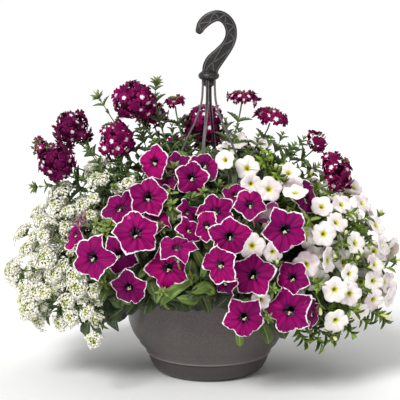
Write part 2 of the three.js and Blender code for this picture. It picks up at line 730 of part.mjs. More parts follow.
// Million bell: a notched rim, a shallow cup and a trumpet that runs on into its stalk
const BELL_NECK = 13;
function bellBody(at, facing, wide, way) {
  const radius = wide / 2;
  const rim = Array.from({ length: 10 }, (_, k) => {
    const reach = k % 2 ? radius : radius * 0.84;
    const turn = radians(36 * k);
    return point(reach * Math.cos(turn), reach * Math.sin(turn), k % 2 ? 0 : 1);
  });
  const shape = [[point(0, 0, -5)], rim, circle(radius * 0.24, -BELL_NECK, 5)];
  const top = placed(shape, standAt(at, facing, wide * 7));
  const stalk = way.slice(0, -1).map((p, i) => {
    const back = at.clone().sub(way[i + 1]).normalize();
    return placed([circle(1.3, 0, 5)], standAt(p, back, wide * 7))[0];
  });
  return ringBody([...top, ...stalk, [way[way.length - 1]]]);
}

// A leaf: a keeled blade from its root to its tip, arched downwards, with one or two stations;
// with none, a narrow leaf of three sides that is widest at its middle
function leafBody(root, heading, face, { long, wide, stations }, thick = 1.2) {
  const side = heading.clone().cross(face).normalize();
  const up = side.clone().cross(heading).normalize();
  const droop = 0.24 * long;
  const spine = (share) => root.clone()
    .addScaledVector(heading, long * share)
    .addScaledVector(up, -droop * share * share);
  const shares = stations === 2 ? [[0.4, 1], [0.72, 0.8]] : [[0.5, 1]];
  const rings = shares.map(([share, spread]) => {
    const middle = spine(share);
    const half = (wide / 2) * spread;
    const ring = [
      middle.clone().addScaledVector(side, half).addScaledVector(up, 0.16 * wide),
      middle.clone().addScaledVector(up, thick / 2),
      middle.clone().addScaledVector(side, -half).addScaledVector(up, 0.16 * wide),
      middle.clone().addScaledVector(up, -thick / 2),
    ];
    return stations === 0 ? ring.filter((_, k) => k !== 1) : ring;
  });
  return ringBody([[spine(0)], ...rings, [spine(1)]]);
}

// Greenery

function wedgeOf(from, to) {
  const reach = 420;
  const inset = 0.8;
  const middle = radians((from + to) / 2);
  const half = radians((to - from) / 2);
  const tipBack = 4 + inset / Math.sin(half);
  const tip = point(Math.cos(middle), Math.sin(middle), 0).multiplyScalar(tipBack);
  const outline = [new THREE.Vector2(tip.x, tip.y)];
  for (const share of [-1, -0.5, 0, 0.5, 1]) {
    const angle = middle + share * half;
    outline.push(new THREE.Vector2(tip.x + reach * Math.cos(angle), tip.y + reach * Math.sin(angle)));
  }
  const shape = new THREE.Shape(outline);
  return solidFrom(new THREE.ExtrudeGeometry(shape, { depth: 600, bevelEnabled: false }));
}

// The leafy core under the flowers: an uneven dome that sits over the rim of the pot
function makeCoreDome() {
  const { a, b, c } = CORE_DOME;
  const levels = [[0.86, CORE_BOTTOM], [0.97, 118]];
  for (const rise of [4, 26, 47, 68].map(radians)) {
    levels.push([Math.cos(rise), DOME_HEIGHT + c * Math.sin(rise)]);
  }
  const rings = levels.map(([share, height], level) =>
    Array.from({ length: CORE_SIDES }, (_, k) => {
      const compass = radians((360 / CORE_SIDES) * (k + 0.5 * (level % 2)));
      const swell = share * (0.9 + 0.16 * draw(37 * level + k));
      const lift = 8 * draw(level + 13 * k);
      return point(a * swell * Math.cos(compass), b * swell * Math.sin(compass), height + lift);
    }),
  );
  const dome = ringBody([[point(0, 0, CORE_BOTTOM)], ...rings, [point(0, 0, DOME_HEIGHT + c)]]);
  const inside = turned([[0, 0], [CORE_CLEARANCE_RADIUS, 0], [CORE_CLEARANCE_RADIUS, 139], [0, 139]], 24);
  const strandRoom = Object.values(STRAND_ANGLES).map((angle) => {
    const out = point(Math.cos(radians(angle)), Math.sin(radians(angle)), 0);
    const at = (radius, height) => out.clone().multiplyScalar(radius).setZ(height);
    const path = [at(4, 430), at(36, 345), at(113, 147), at(118, 120)];
    return rod(path, [9, 9, 9, 9], [7, 7, 7, 7], 4, out);
  });
  return [inside, ...strandRoom].reduce((core, cut) => core.subtract(cut), dome);
}

function ledge(grow) {
  const { radius, top } = BACK_LEDGE;
  return turned([
    [radius - grow, 0], [400, 0], [400, top + grow], [radius - grow, top + grow], [radius - grow, 0],
  ], 24).scale([CORE_DOME.a / CORE_DOME.b, 1, 1]);
}

function makeCores() {
  const dome = makeCoreDome();
  const cores = {};
  for (const [name, { from, to }] of Object.entries(PLANTS)) {
    cores[name] = dome.intersect(wedgeOf(from, to));
  }
  cores.verbena_plant = cores.verbena_plant.subtract(ledge(0.6));
  cores.petunia_back_plant = cores.petunia_back_plant.intersect(ledge(-0.6));
  return cores;
}

// A point well inside a plant's core, straight under a given place or as near as its sector lets
function rootUnder(name, p, depth = 0.8) {
  const { from, to } = PLANTS[name];
  const middle = radians((from + to) / 2);
  const half = radians((to - from) / 2 - 8);
  let turn = compassOf(p) - middle;
  turn = Math.atan2(Math.sin(turn), Math.cos(turn));
  const compass = middle + THREE.MathUtils.clamp(turn, -half, half);
  const lowest = name === 'petunia_back_plant' ? 6 : 14;
  const highest = name === 'petunia_back_plant' ? 18 : 78;
  const rise = THREE.MathUtils.clamp(riseOf(CORE_DOME, p), radians(lowest), radians(highest));
  return onDome(CORE_DOME, compass, rise, name === 'petunia_back_plant' ? 0.93 : depth);
}

const plants = {};

function startPlant(name, core) {
  const [x, y] = PLANTS[name].foot;
  const top = name === 'petunia_back_plant' ? 172 : 158;
  const stem = stemRod([point(x, y, STEM_FOOT), point(x, y, top)], [STEM_RADIUS, STEM_RADIUS], 6);
  plants[name] = core.add(stem);
  keepClearOf(name, plants[name], true);
}

// Adds a piece to a plant if it joins it and stands clear of all others; false if it doesn't
function grow(name, piece, nudge, carried = '') {
  if (!isClear(name, piece, nudge, carried)) return false;
  const joined = plants[name].add(piece);
  if (joined.decompose().length > 1) return false;
  plants[name] = joined;
  keepClearOf(name, piece);
  return true;
}

function noPlaceFor(what) {
  throw new Error(`${what} finds no clear place`);
}

// Ways to bend a stalk: none first, then further and further to all sides
function sideways(facing, tries, stride = 4) {
  const side = facing.clone().cross(point(0.3, 0.2, 1)).normalize();
  const above = facing.clone().cross(side);
  return Array.from({ length: tries }, (_, i) => {
    const turn = radians(137.5 * i);
    const far = stride * i;
    return side.clone()
      .multiplyScalar(Math.cos(turn) * far + 0.01)
      .addScaledVector(above, Math.sin(turn) * far);
  });
}

// The flower stalk with its calyx cup, bent sideways where something stands in the way
function growStalk(name, flower) {
  const { at, facing } = flower;
  const { cup, bend } = stubOf(at, facing);
  for (const sway of sideways(facing, 60, 1.5)) {
    const aside = bend.clone().add(sway);
    if (aside.z > at.z + STALK_RISE) continue;
    const root = rootUnder(name, aside);
    for (const way of [[root], [aside.clone().addScaledVector(facing, -3), root]]) {
      const radii = [2.9, 1.5, 1.6, 2].slice(0, way.length + 2);
      const stalk = stemRod([cup, bend, ...way], radii, 4);
      if (grow(name, stalk, sway.clone().normalize(), flower.name)) return;
    }
  }
  noPlaceFor(`the stalk of ${flower.name}`);
}

function growLeaves(name, seed) {
  const leaf = LEAVES[name];
  const { from, to } = PLANTS[name];
  const [low, high] = [Math.sin(radians(leaf.lowest)), Math.sin(radians(leaf.highest))];
  for (let i = 0; i < leaf.count; i += 1) {
    const share = (i * 0.618034 + draw(seed)) % 1;
    const compass = radians(from + 3 + (to - from - 6) * share);
    const rise = Math.asin(low + (high - low) * ((i + 0.5) / leaf.count));
    const root = onDome(CORE_DOME, compass, rise, LEAF_ROOT);
    const out = outwardAt(CORE_DOME, root);
    for (let attempt = 0; attempt < 8; attempt += 1) {
      const spin = radians(360 * draw(seed + i * 17 + attempt * 5));
      const side = out.clone().cross(point(0, 0, 1)).normalize();
      const over = side.clone().cross(out);
      const way = side.multiplyScalar(Math.cos(spin)).addScaledVector(over, Math.sin(spin));
      const lean = 0.75 + 0.35 * draw(seed + i * 29 + attempt);
      const heading = out.clone().addScaledVector(way, lean).normalize();
      const blade = leafBody(root, heading, out, leaf);
      if (blade.boundingBox().min[2] < leaf.floor) continue;
      if (missesItsOwn(name, blade) && grow(name, blade, out)) break;
    }
  }
}

function growFringe() {
  for (const { u, v, right } of FRINGE_LEAVES) {
    const tip = seenAtDepth(u, v, -148);
    const root = rootUnder('petunia_plant', tip.clone().setZ(150), LEAF_ROOT);
    const heading = tip.clone().sub(root).setZ(tip.z - root.z + 8);
    const long = heading.length();
    const blade = leafBody(root, heading.normalize(), facingOf(right, 20), { long, wide: 24, stations: 2 });
    if (!grow('petunia_plant', blade, facingOf(right, 20))) noPlaceFor(`the fringe leaf at ${u}`);
  }
}

function verbenaNeck({ at, facing, radius, flat }) {
  const foot = at.clone().addScaledVector(facing, -(radius * VERBENA_CORE * flat * 0.795 + GAP));
  return { foot, neck: foot.clone().addScaledVector(facing, -14) };
}

function growVerbenaStem(head) {
  const { foot, neck } = verbenaNeck(head);
  for (const sway of sideways(head.facing, 44)) {
    const root = rootUnder('verbena_plant', head.at.clone().add(sway), 0.86);
    const over = root.clone().addScaledVector(outwardAt(CORE_DOME, root), 62);
    const path = [foot, neck, over.lerp(neck, 0.3), root];
    if (!grow('verbena_plant', stemRod(path, [1.6, 1.6, 2, 2.4], 4), point(1, 0, 0), head.name)) continue;
    growStemLeaves(path, head.radius);
    return;
  }
  noPlaceFor(`the stem of ${head.name}`);
}

function growStemLeaves(path, seed) {
  for (const [i, share] of [[0, 0.3], [1, 0.75]]) {
    const at = path[1].clone().lerp(path[2], share);
    const along = path[1].clone().sub(path[2]).normalize();
    const spin = radians(90 * i + 60 * draw(seed + i));
    const across = along.clone().cross(point(Math.cos(spin), Math.sin(spin), 0.2)).normalize();
    for (const way of [-1, 1]) {
      const heading = across.clone().multiplyScalar(way).addScaledVector(along, 0.7).normalize();
      const blade = leafBody(at, heading, along, { long: 30, wide: 12, stations: 0 });
      if (missesItsOwn('verbena_plant', blade)) grow('verbena_plant', blade, along);
    }
  }
}

function growBells(list) {
  for (const { u, v, right, up, wide, behind = 0 } of list) {
    const at = seenOnDome(u, v).addScaledVector(sightLine(u, v), behind);
    if (!growBell(at, facingOf(right, up), wide)) noPlaceFor(`the bell at ${u}, ${v}`);
  }
}

function growBackBells() {
  for (let i = 0; i < BACK_BELLS; i += 1) {
    const compass = radians(8 + 34 * draw(i + 3));
    const rise = radians(4 + (52 * (i + 0.5)) / BACK_BELLS);
    const at = onDome(FLOWER_DOME, compass, rise);
    if (!growBell(at, outwardAt(FLOWER_DOME, at), 34)) noPlaceFor(`bell ${i} of the far side`);
  }
}

// Tries a straight stalk, then one that runs over the core, and lifts the flower where neither is clear
function growBell(at, facing, wide) {
  const name = 'calibrachoa_plant';
  const outward = outwardAt(FLOWER_DOME, at);
  for (let step = 0; step < 8; step += 1) {
    const here = at.clone().addScaledVector(outward, 4 * step);
    const under = here.clone().addScaledVector(facing, -BELL_NECK - 6);
    for (const sway of sideways(facing, 22)) {
      const root = rootUnder(name, here.clone().add(sway));
      const compass = (compassOf(under) + compassOf(root)) / 2;
      const over = onDome(CORE_DOME, compass, riseOf(CORE_DOME, under), 1.2);
      for (const way of [[root], [under, over.add(sway), root]]) {
        if (grow(name, bellBody(here, facing, wide, way), facing)) return true;
      }
    }
  }
  return false;
}

function growAlyssum() {
  const name = 'alyssum_plant';
  const { from, to } = PLANTS[name];
  for (let i = 0; i < ALYSSUM_HEADS; i += 1) {
    const share = (i * 0.618034 + 0.21) % 1;
    const compass = radians(from + 2 + (to - from - 4) * share);
    const rise = radians(-14 + 72 * ((i + 0.5) / ALYSSUM_HEADS));
    const radius = ALYSSUM_RADIUS * (0.8 + 0.4 * draw(i + 71));
    const shape = floretHead(sixWays(), {
      core: radius * 0.6, reach: radius, tip: radius * 0.66, notch: 0, flat: 0.7,
    });
    let placedHead = false;
    for (let lift = 0; lift < 6 && !placedHead; lift += 1) {
      const at = onDome(FLOWER_DOME, compass, rise, 1.02 + 0.03 * lift);
      const facing = outwardAt(FLOWER_DOME, at).add(point(0, 0, 0.35)).normalize();
      const stalk = stemRod([at, rootUnder(name, at, 0.84)], [2, 1.6], 3);
      placedHead = grow(name, headAt(shape, at, facing, 50 * i).add(stalk), facing);
    }
    if (!placedHead) noPlaceFor(`alyssum head ${i}`);
  }
}

// Putting it together

const basket = new THREE.Group();
basket.name = 'petunia_hanging_basket';

function addPiece(name, solid, colour, roughness) {
  const mesh = solid.getMesh();
  const geometry = new THREE.BufferGeometry();
  geometry.setAttribute('position', new THREE.BufferAttribute(Float32Array.from(mesh.vertProperties), 3));
  geometry.setIndex(new THREE.BufferAttribute(Uint32Array.from(mesh.triVerts), 1));
  geometry.computeVertexNormals();
  const material = new THREE.MeshStandardMaterial({ color: colour, roughness, metalness: 0 });
  const piece = new THREE.Mesh(geometry, material);
  piece.name = name;
  basket.add(piece);
}

function addHolder() {
  const parts = { pot: makePot(), saucer: makeSaucer(), soil: makeSoil(), hook: makeHook() };
  for (const [side, angle] of Object.entries(STRAND_ANGLES)) parts[`strand_${side}`] = makeStrand(angle);
  for (const [name, solid] of Object.entries(parts)) {
    keepClearOf(name, solid);
    const colour = COLOURS[name] ?? COLOURS.hanger;
    addPiece(name, solid, colour, name === 'soil' ? 0.95 : 0.5);
  }
}

function seatVerbena() {
  return VERBENA_HEADS.map(({ u, v, back, radius, flat }, i) => {
    const at = seenAtDepth(u, v, back);
    const root = rootUnder('verbena_plant', at, 0.86);
    const facing = at.clone().sub(root).normalize().add(point(0, 0, 1.2)).normalize();
    const name = `verbena_head_${String(i + 1).padStart(2, '0')}`;
    const solid = headAt(verbenaHead(radius, flat), at, facing, 31 * i);
    if (!isClear(name, solid, facing)) noPlaceFor(name);
    keepClearOf(name, solid);
    const head = { name, solid, at, facing, radius, flat };
    const { foot, neck } = verbenaNeck(head);
    keepClearOf('verbena_plant', stemRod([foot, neck], [1.6, 1.6], 4));
    return head;
  });
}

function seatPetunias() {
  const front = PETUNIAS.map((spot, i) => {
    const at = seenOnDome(spot.u, spot.v);
    const slide = EYE.clone().sub(at).normalize();
    const name = `petunia_${String(i + 1).padStart(2, '0')}`;
    return seatPetunia(name, 'petunia_plant', spot, at, facingOf(spot.right, spot.up), slide);
  });
  const back = BACK_PETUNIAS.map((spot, i) => {
    const at = onDome(FLOWER_DOME, radians(spot.compass), radians(spot.rise));
    const facing = outwardAt(FLOWER_DOME, at);
    return seatPetunia(`petunia_back_${i + 1}`, 'petunia_back_plant', spot, at, facing, facing);
  });
  return { front, back };
}

function growBackVerbena() {
  for (const { compass, rise, radius } of BACK_VERBENA) {
    const at = onDome(FLOWER_DOME, radians(compass), radians(rise), 1.12);
    const facing = outwardAt(FLOWER_DOME, at);
    const stalk = stemRod([at, rootUnder('verbena_plant', at, 0.86)], [2, 2.2], 4);
    const head = headAt(verbenaHead(radius, 1, 0), at, facing, compass);
    if (!grow('verbena_plant', head.add(stalk), facing)) noPlaceFor('a verbena head of the far side');
  }
}

addHolder();
for (const [name, core] of Object.entries(makeCores())) startPlant(name, core);
const verbena = seatVerbena();
const petunias = seatPetunias();
for (const flower of petunias.front) growStalk('petunia_plant', flower);
for (const flower of petunias.back) growStalk('petunia_back_plant', flower);
growBells(BELLS.slice(0, HANGER_BELLS));
for (const head of verbena) growVerbenaStem(head);
growBells(BELLS.slice(HANGER_BELLS));
growBackBells();
growFringe();
growAlyssum();
growBackVerbena();
Object.keys(LEAVES).forEach((name, i) => growLeaves(name, 100 * (i + 1)));

for (const { name, solid } of [...petunias.front, ...petunias.back]) {
  addPiece(name, solid, COLOURS.petunia, 0.7);
}
for (const { name, solid } of verbena) addPiece(name, solid, COLOURS.verbena, 0.7);
const PLANT_COLOURS = {
  petunia_plant: COLOURS.petuniaGreen,
  petunia_back_plant: COLOURS.petuniaGreen,
  verbena_plant: COLOURS.verbenaGreen,
  calibrachoa_plant: COLOURS.bells,
  alyssum_plant: COLOURS.alyssum,
};
for (const [name, solid] of Object.entries(plants)) addPiece(name, solid, PLANT_COLOURS[name], 0.8);

export default basket;
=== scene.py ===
import math

import bpy
import numpy as np
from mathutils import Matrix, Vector, kdtree


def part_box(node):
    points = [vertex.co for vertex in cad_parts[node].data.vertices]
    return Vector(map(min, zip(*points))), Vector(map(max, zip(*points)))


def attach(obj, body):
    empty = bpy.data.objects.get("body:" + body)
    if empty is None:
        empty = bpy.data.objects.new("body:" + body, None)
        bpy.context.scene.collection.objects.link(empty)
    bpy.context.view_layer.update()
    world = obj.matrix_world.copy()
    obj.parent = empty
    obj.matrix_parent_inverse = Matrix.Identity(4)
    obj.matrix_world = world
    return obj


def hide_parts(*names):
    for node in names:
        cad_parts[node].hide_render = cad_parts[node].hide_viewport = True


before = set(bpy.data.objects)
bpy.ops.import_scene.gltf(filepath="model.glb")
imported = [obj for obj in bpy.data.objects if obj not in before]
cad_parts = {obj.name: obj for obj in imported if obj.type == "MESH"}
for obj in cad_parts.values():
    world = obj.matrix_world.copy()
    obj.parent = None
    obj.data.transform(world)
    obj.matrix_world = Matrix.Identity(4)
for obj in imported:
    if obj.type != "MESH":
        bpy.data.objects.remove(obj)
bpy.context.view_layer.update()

# A mixed hanging basket: petunias, verbena, million bells and sweet alyssum in a round pot.
# All lengths here are in millimetres in the CAD's frame; build() turns them into metres.

scene = bpy.context.scene
scene.view_settings.view_transform = "Standard"

# The camera, which is also the front view that the flowers are set out in

EYE = np.array([-13.0, -2100.0, 642.0])
AIM = np.array([-13.0, 0.0, 260.0])
VIEW_FOCAL = 1421
VIEW_CENTRE = 200
SENSOR_MM = 36

camera_data = bpy.data.cameras.new("camera")
camera_data.sensor_width = SENSOR_MM
camera_data.lens = SENSOR_MM * VIEW_FOCAL / (2 * VIEW_CENTRE)
camera = bpy.data.objects.new("camera", camera_data)
camera.location = Vector(EYE) / 1000
camera.rotation_euler = Vector(AIM - EYE).to_track_quat("-Z", "Y").to_euler()
scene.collection.objects.link(camera)
scene.camera = camera


# The same sizes and places as the CAD solids

DOME_HEIGHT = 140
FLOWER_DOME = (292, 188, 200)
CORE_DOME = (188, 132, 132)
LEAF_ROOT = 0.86
PETUNIA_TUBE = 27
POINTED_FROM = 54
VERBENA_CORE = 0.62
BELL_NECK = 13
GAP = 0.3
LEAF_DROOP = 0.24

# What the additions may reach, the stretch of the front view where the bare pot shows with how far back
# it counts, and where broad leaves begin
REACH_LOW = np.array([-318, -250, 46])
REACH_HIGH = np.array([290, 206, 400])
POT_LEFT, POT_RIGHT, POT_TOP = 126, 290, 305
POT_FRONT = 40
BROAD_LEAF_LEFT = 132

# Each plant's share of the dome, as compass angles
PLANTS = {
    "petunia_plant": (212, 325),
    "calibrachoa_plant": (-35, 45),
    "verbena_plant": (45, 140),
    "petunia_back_plant": (45, 140),
    "alyssum_plant": (140, 212),
}

# Where each plant's main stem stands on the soil
STEM_FEET = {
    "petunia_plant": (-15, -62),
    "calibrachoa_plant": (66, 8),
    "verbena_plant": (8, 52),
    "petunia_back_plant": (6, 104),
    "alyssum_plant": (-64, 10),
}

# u, v of the throat in the front view, facing right and up, width and turn
PETUNIAS = [
    (205, 165, 8, 48, 50, 10), (176, 163, -8, 60, 50, 40), (154, 162, -38, 10, 54, 20),
    (165, 183, 0, 76, 44, 0), (192, 178, 3, 12, 52, 8), (236, 194, -10, 45, 42, 30),
    (264, 212, -135, 35, 50, 15), (250, 204, 5, 38, 50, 50), (307, 199, 55, 8, 56, 25),
    (188, 212, 55, 30, 42, 5), (216, 211, 5, 38, 56, 36), (120, 208, -12, 45, 56, 60),
    (156, 221, 20, 64, 50, 33), (148, 197, -5, 18, 60, 12), (206, 226, -38, 8, 48, 64),
    (189, 230, 38, 32, 40, 22), (285, 230, 8, 8, 65, 42), (230, 237, 2, -3, 61, 17),
    (75, 234, -62, 25, 50, 52), (177, 247, -5, 62, 56, 9), (119, 255, 4, 4, 58, 47),
    (136, 233, 8, 28, 68, 28), (224, 284, -50, -18, 46, 0), (220, 265, -38, 0, 59, 31),
    (292, 278, -18, 8, 52, 56), (92, 258, -28, 6, 68, 3), (168, 268, -14, 4, 65, 44),
    (253, 275, -6, 7, 65, 15), (129, 288, -4, -20, 57, 26), (313, 314, 60, 0, 48, 12),
    (289, 311, -22, 0, 70, 39), (244, 318, 0, -8, 63, 50),
]

# Blooms that lie in shade, painted a deeper purple than the others as painted shade, by their number
SHADED_PETUNIAS = (2, 9, 10, 13, 21, 23, 25, 29, 30, 31)

# Far side: compass angle, rise, width and turn
BACK_PETUNIAS = [(62, 20, 60, 12), (84, 6, 62, 31), (103, 24, 58, 50), (124, 10, 60, 22)]
BACK_EXTRA = 9

# u, v of the middle, distance behind the axis, radius and flatness
VERBENA_HEADS = [
    (134, 101, 0, 32, 1), (152, 114, 58, 24, 1), (71.5, 129, 28, 29, 1), (57, 161, -22, 29, 1),
    (117, 140, -15, 28, 1), (175, 103, 30, 16, 0.6), (204, 125, 60, 33, 1), (242, 99, 20, 23, 0.55),
    (271, 118, 42, 26, 0.6), (317, 142, 10, 19, 0.8), (337, 173, -10, 27, 1),
]
BACK_VERBENA = [(66, 48, 26), (112, 50, 26), (90, 66, 24)]

# A young head beside the one furthest left: u, v, distance behind the axis and radius
SIDE_HEAD = (43, 150, -16, 15)

# u, v in the front view, facing right and up, width and distance behind the dome
BELLS = [
    (228, 149, 10, 60, 30, 30), (237, 140, 5, 45, 34, 0), (261, 143, 15, 70, 34, 0),
    (224, 169, -25, 20, 30, 0), (247, 168, -5, 22, 37, 0), (251, 184, 0, 8, 30, 0),
    (269, 189, 5, 25, 38, 0), (289, 172, 10, 50, 36, 0), (294, 187, -5, 12, 32, 0),
    (289, 203, -10, 70, 38, 0), (324, 234, 12, 15, 37, 0), (337, 222, 30, 40, 34, 0),
    (356, 243, 40, 25, 36, 0), (306, 265, 5, 0, 40, 0), (329, 260, 55, 5, 38, 0),
    (350, 294, 12, 0, 36, 0), (350, 274, 30, 10, 30, 0), (335, 290, 10, 5, 38, 0),
    (376, 264, 50, 30, 34, 0), (374, 281, 30, 5, 34, 0), (386, 282, 60, 0, 32, 0),
    (374, 300, 30, -10, 34, 0), (390, 297, 50, -5, 30, 0), (336, 321, 10, -10, 36, 0),
    (354, 187, 40, 45, 32, 0), (363, 203, 45, 40, 32, 0), (377, 225, 50, 30, 32, 0),
    (383, 245, 55, 20, 32, 0), (342, 204, 25, 40, 32, 0), (322, 206, 10, 40, 34, 0),
    (252, 246, -5, 10, 38, 0), (273, 252, 10, 5, 30, 0), (261, 300, 5, 0, 28, 6),
]
BACK_BELLS = 5
BACK_BELL_WIDE = 34
ALYSSUM_HEADS = 16
ALYSSUM_RADIUS = 18

# Leaves of each plant in the CAD: seed, count, length, width, lowest and highest rise of the roots
LEAVES = {
    "petunia_plant": (100, 40, 62, 27, 2, 80),
    "petunia_back_plant": (200, 20, 58, 26, 0, 20),
    "verbena_plant": (300, 30, 58, 22, 26, 84),
    "calibrachoa_plant": (400, 38, 58, 17, -6, 80),
    "alyssum_plant": (500, 38, 58, 15, -6, 80),
}

# Petunia leaves that hang over the front of the pot, painted dark as painted shade: u, v of the tip and
# facing
FRINGE_LEAVES = [
    (158, 306, -20), (172, 307, 0), (187, 305, 10), (202, 302, 0), (216, 298, 10), (140, 311, -25),
]
FRINGE_DEPTH, FRINGE_WIDE = -148, 24

# Leaves that the front view shows one by one: u, v of the foot and the tip, distance behind the axis,
# width and tone; a low tone paints a leaf in shade dark, as painted shade
FRONT_LEAVES = {
    "petunia_plant": [
        (203, 276, 157, 309, -182, 16, 0.85), (197, 283, 215, 295, -180, 18, 0.7),
        (199, 289, 211, 316, -160, 19, 0.22), (201, 279, 207, 259, -182, 10, 0.95),
        (186, 284, 192, 264, -180, 21, 0.35), (163, 300, 152, 283, -160, 13, 0.8),
        (163, 300, 171, 284, -160, 13, 0.68), (168, 297, 177, 309, -152, 22, 0.06),
        (182, 296, 191, 309, -152, 22, 0.1), (150, 297, 143, 315, -140, 24, 0.16),
        (141, 296, 125, 316, -128, 24, 0.08), (238, 330, 241, 348, -150, 14, 0.8),
        (261, 320, 271, 347, -128, 21, 0.4), (274, 317, 287, 341, -118, 21, 0.15),
    ],
    "alyssum_plant": [
        (103, 301, 112, 327, -76, 8, 0.04), (97, 305, 104, 334, -66, 7.5, 0.1),
        (111, 299, 127, 317, -84, 8.5, 0.06), (92, 302, 87, 320, -66, 7, 0.16),
        (106, 296, 120, 308, -80, 8, 0.22), (84, 310, 94, 326, -60, 7, 0.3),
    ],
}

# Trailing sprigs of million bells at the lower right: u, v of the tip and the foot
TRAILERS = [
    (333, 340, 302, 326), (322, 345, 298, 328), (306, 343, 292, 328), (338, 331, 310, 320),
    (352, 334, 334, 318), (368, 324, 346, 312), (388, 322, 362, 304),
]

# Tufts of million bell leaves between the flowers: u, v
TUFTS = [
    (350, 214), (366, 218), (370, 244), (341, 244), (357, 259), (363, 288), (317, 284), (355, 312),
    (388, 268), (309, 221),
]

# Alyssum heads at the left rim and between the petunias: u, v and radius
RIM_ALYSSUM = [(27, 249, 13), (25, 290, 13), (44, 221, 12), (129, 183, 10), (118, 189, 9)]
MORE_ALYSSUM, MORE_BELLS = 125, 62

# Clusters of young light leaves between the flowers: u, v and the length of their leaves
ROSETTES = [
    (174, 168, 16), (169, 194, 15), (171, 205, 15), (161, 229, 13), (110, 225, 15), (105, 232, 13),
    (266, 232, 11), (302, 232, 12), (203, 192, 11), (162, 292, 12), (190, 276, 11), (268, 318, 10),
    (104, 284, 13), (97, 224, 13), (118, 235, 11), (273, 289, 12),
]

# Petunia and million bell buds: u, v, facing right and up, and length
BUDS = {
    "petunia_plant": [
        (116, 191, -20, 40, 20), (190, 201, 40, 50, 20), (218, 188, 30, 60, 16), (159, 230, -10, 60, 16),
    ],
    "calibrachoa_plant": [
        (390, 261, 80, 10, 26), (376, 313, 60, -10, 26), (339, 259, -40, 30, 15), (355, 262, 30, 50, 14),
        (378, 217, 60, 60, 15), (290, 208, 10, -30, 18), (277, 267, 0, 60, 14), (275, 172, 10, 60, 16),
        (309, 178, 40, 60, 16), (320, 304, 0, -40, 20), (366, 268, 30, 20, 16), (345, 238, 10, 60, 15),
        (284, 183, 0, 60, 15), (332, 334, 20, -20, 16),
    ],
}

WILTED_AT = (92, 228)

# Leafy verbena shoots without a head: u, v of the tip and of the foot, and distance behind the axis. The
# first of them end in buds.
SHOOTS = [
    (99.5, 99, 122, 142, 10), (156, 85, 152, 120, 20), (38, 187, 92, 190, -30), (77, 128, 100, 178, 20),
    (88, 150, 112, 190, -20), (106, 136, 124, 186, 10), (97, 168, 128, 200, -40),
    (128, 130, 142, 180, 20), (140, 128, 150, 172, 10), (150, 132, 160, 176, 40),
    (162, 122, 166, 168, 50), (172, 128, 176, 168, 30), (182, 122, 184, 160, 60),
    (118, 158, 136, 196, -30), (84, 178, 116, 200, -50), (70, 172, 104, 196, -20),
    (190, 140, 190, 172, 20), (156, 142, 168, 180, -10), (226, 122, 232, 160, 30),
    (238, 128, 240, 168, 40), (258, 138, 252, 172, 20), (270, 140, 262, 176, 10),
    (282, 136, 270, 172, 30), (294, 146, 276, 176, 0), (303, 140, 286, 176, 40),
    (305, 164, 284, 184, 10), (317, 166, 292, 190, 20), (248, 150, 246, 180, -10),
]
BUDDING_SHOOTS = 3

# Material numbers of the plants' pieces
GREEN, STALK, FACE, BACK = 0, 1, 2, 3
YOUNG, WILTING = 2, 3
YOUNG_VERBENA = 5

# How far a stem's end stands out, as a share of its radius, and the turn from one to the next: of leaves
# in degrees, of florets in radians, and of the CAD's leaves and heads as a share of a whole turn
TUBE_CAP = 0.4
LEAF_SPIN = 137.5
FLORET_SPIN = 2.399963
GOLDEN = 0.618034


# Small helpers


def vec(x, y, z):
    return np.array([x, y, z], dtype=float)


UP, BACKWARD = vec(0, 0, 1), vec(0, 1, 0)


def unit(v):
    return v / np.linalg.norm(v)


def draw(seed):
    """A repeatable draw between 0 and 1, the same one as the CAD makes."""
    wave = math.sin(seed * 12.9898 + 4.1414) * 43758.5453
    return wave - math.floor(wave)


def on_dome(dome, compass, rise, scale=1.0):
    a, b, c = dome
    flat = math.cos(rise) * scale / math.hypot(math.cos(compass) / a, math.sin(compass) / b)
    height = DOME_HEIGHT + c * math.sin(rise) * scale
    return vec(flat * math.cos(compass), flat * math.sin(compass), height)


def rise_of(dome, p):
    a, b, c = dome
    return math.atan2((p[2] - DOME_HEIGHT) / c, math.hypot(p[0] / a, p[1] / b))


def outward_at(dome, p):
    a, b, c = dome
    return unit(vec(p[0] / a**2, p[1] / b**2, (p[2] - DOME_HEIGHT) / c**2))


def sight_line(u, v):
    ahead = unit(AIM - EYE)
    right = vec(1, 0, 0)
    up = np.cross(right, ahead)
    return unit(ahead * VIEW_FOCAL + right * (u - VIEW_CENTRE) + up * (VIEW_CENTRE - v))


def seen_on_dome(u, v):
    """Where a sight line of the front view meets the dome of the flowers."""
    line = sight_line(u, v)
    size = np.array(FLOWER_DOME)
    start = (EYE - vec(0, 0, DOME_HEIGHT)) / size
    step = line / size
    half = start @ step
    root = half * half - (step @ step) * (start @ start - 1)
    return EYE + line * (-half - math.sqrt(max(root, 0))) / (step @ step)


def seen_at_depth(u, v, y):
    line = sight_line(u, v)
    return EYE + line * (y - EYE[1]) / line[1]


def in_view(points):
    """u and v of points in the front view."""
    ahead = unit(AIM - EYE)
    up = np.cross(vec(1, 0, 0), ahead)
    offset = np.atleast_2d(points) - EYE
    depth = offset @ ahead
    u = VIEW_CENTRE + VIEW_FOCAL * offset[:, 0] / depth
    v = VIEW_CENTRE - VIEW_FOCAL * (offset @ up) / depth
    return u, v


def facing_of(right, up):
    turn, lift = math.radians(right), math.radians(up)
    return vec(math.sin(turn) * math.cos(lift), -math.cos(turn) * math.cos(lift), math.sin(lift))


def stand_at(at, facing, turn=0.0):
    """The 4 by 4 matrix that puts a body drawn towards +Z at a place, facing a way."""
    side = unit(np.cross(BACKWARD if abs(facing[2]) > 0.95 else UP, facing))
    above = np.cross(facing, side)
    cos, sin = math.cos(math.radians(turn)), math.sin(math.radians(turn))
    matrix = np.eye(4)
    matrix[:3] = np.column_stack([side * cos + above * sin, above * cos - side * sin, facing, at])
    return matrix


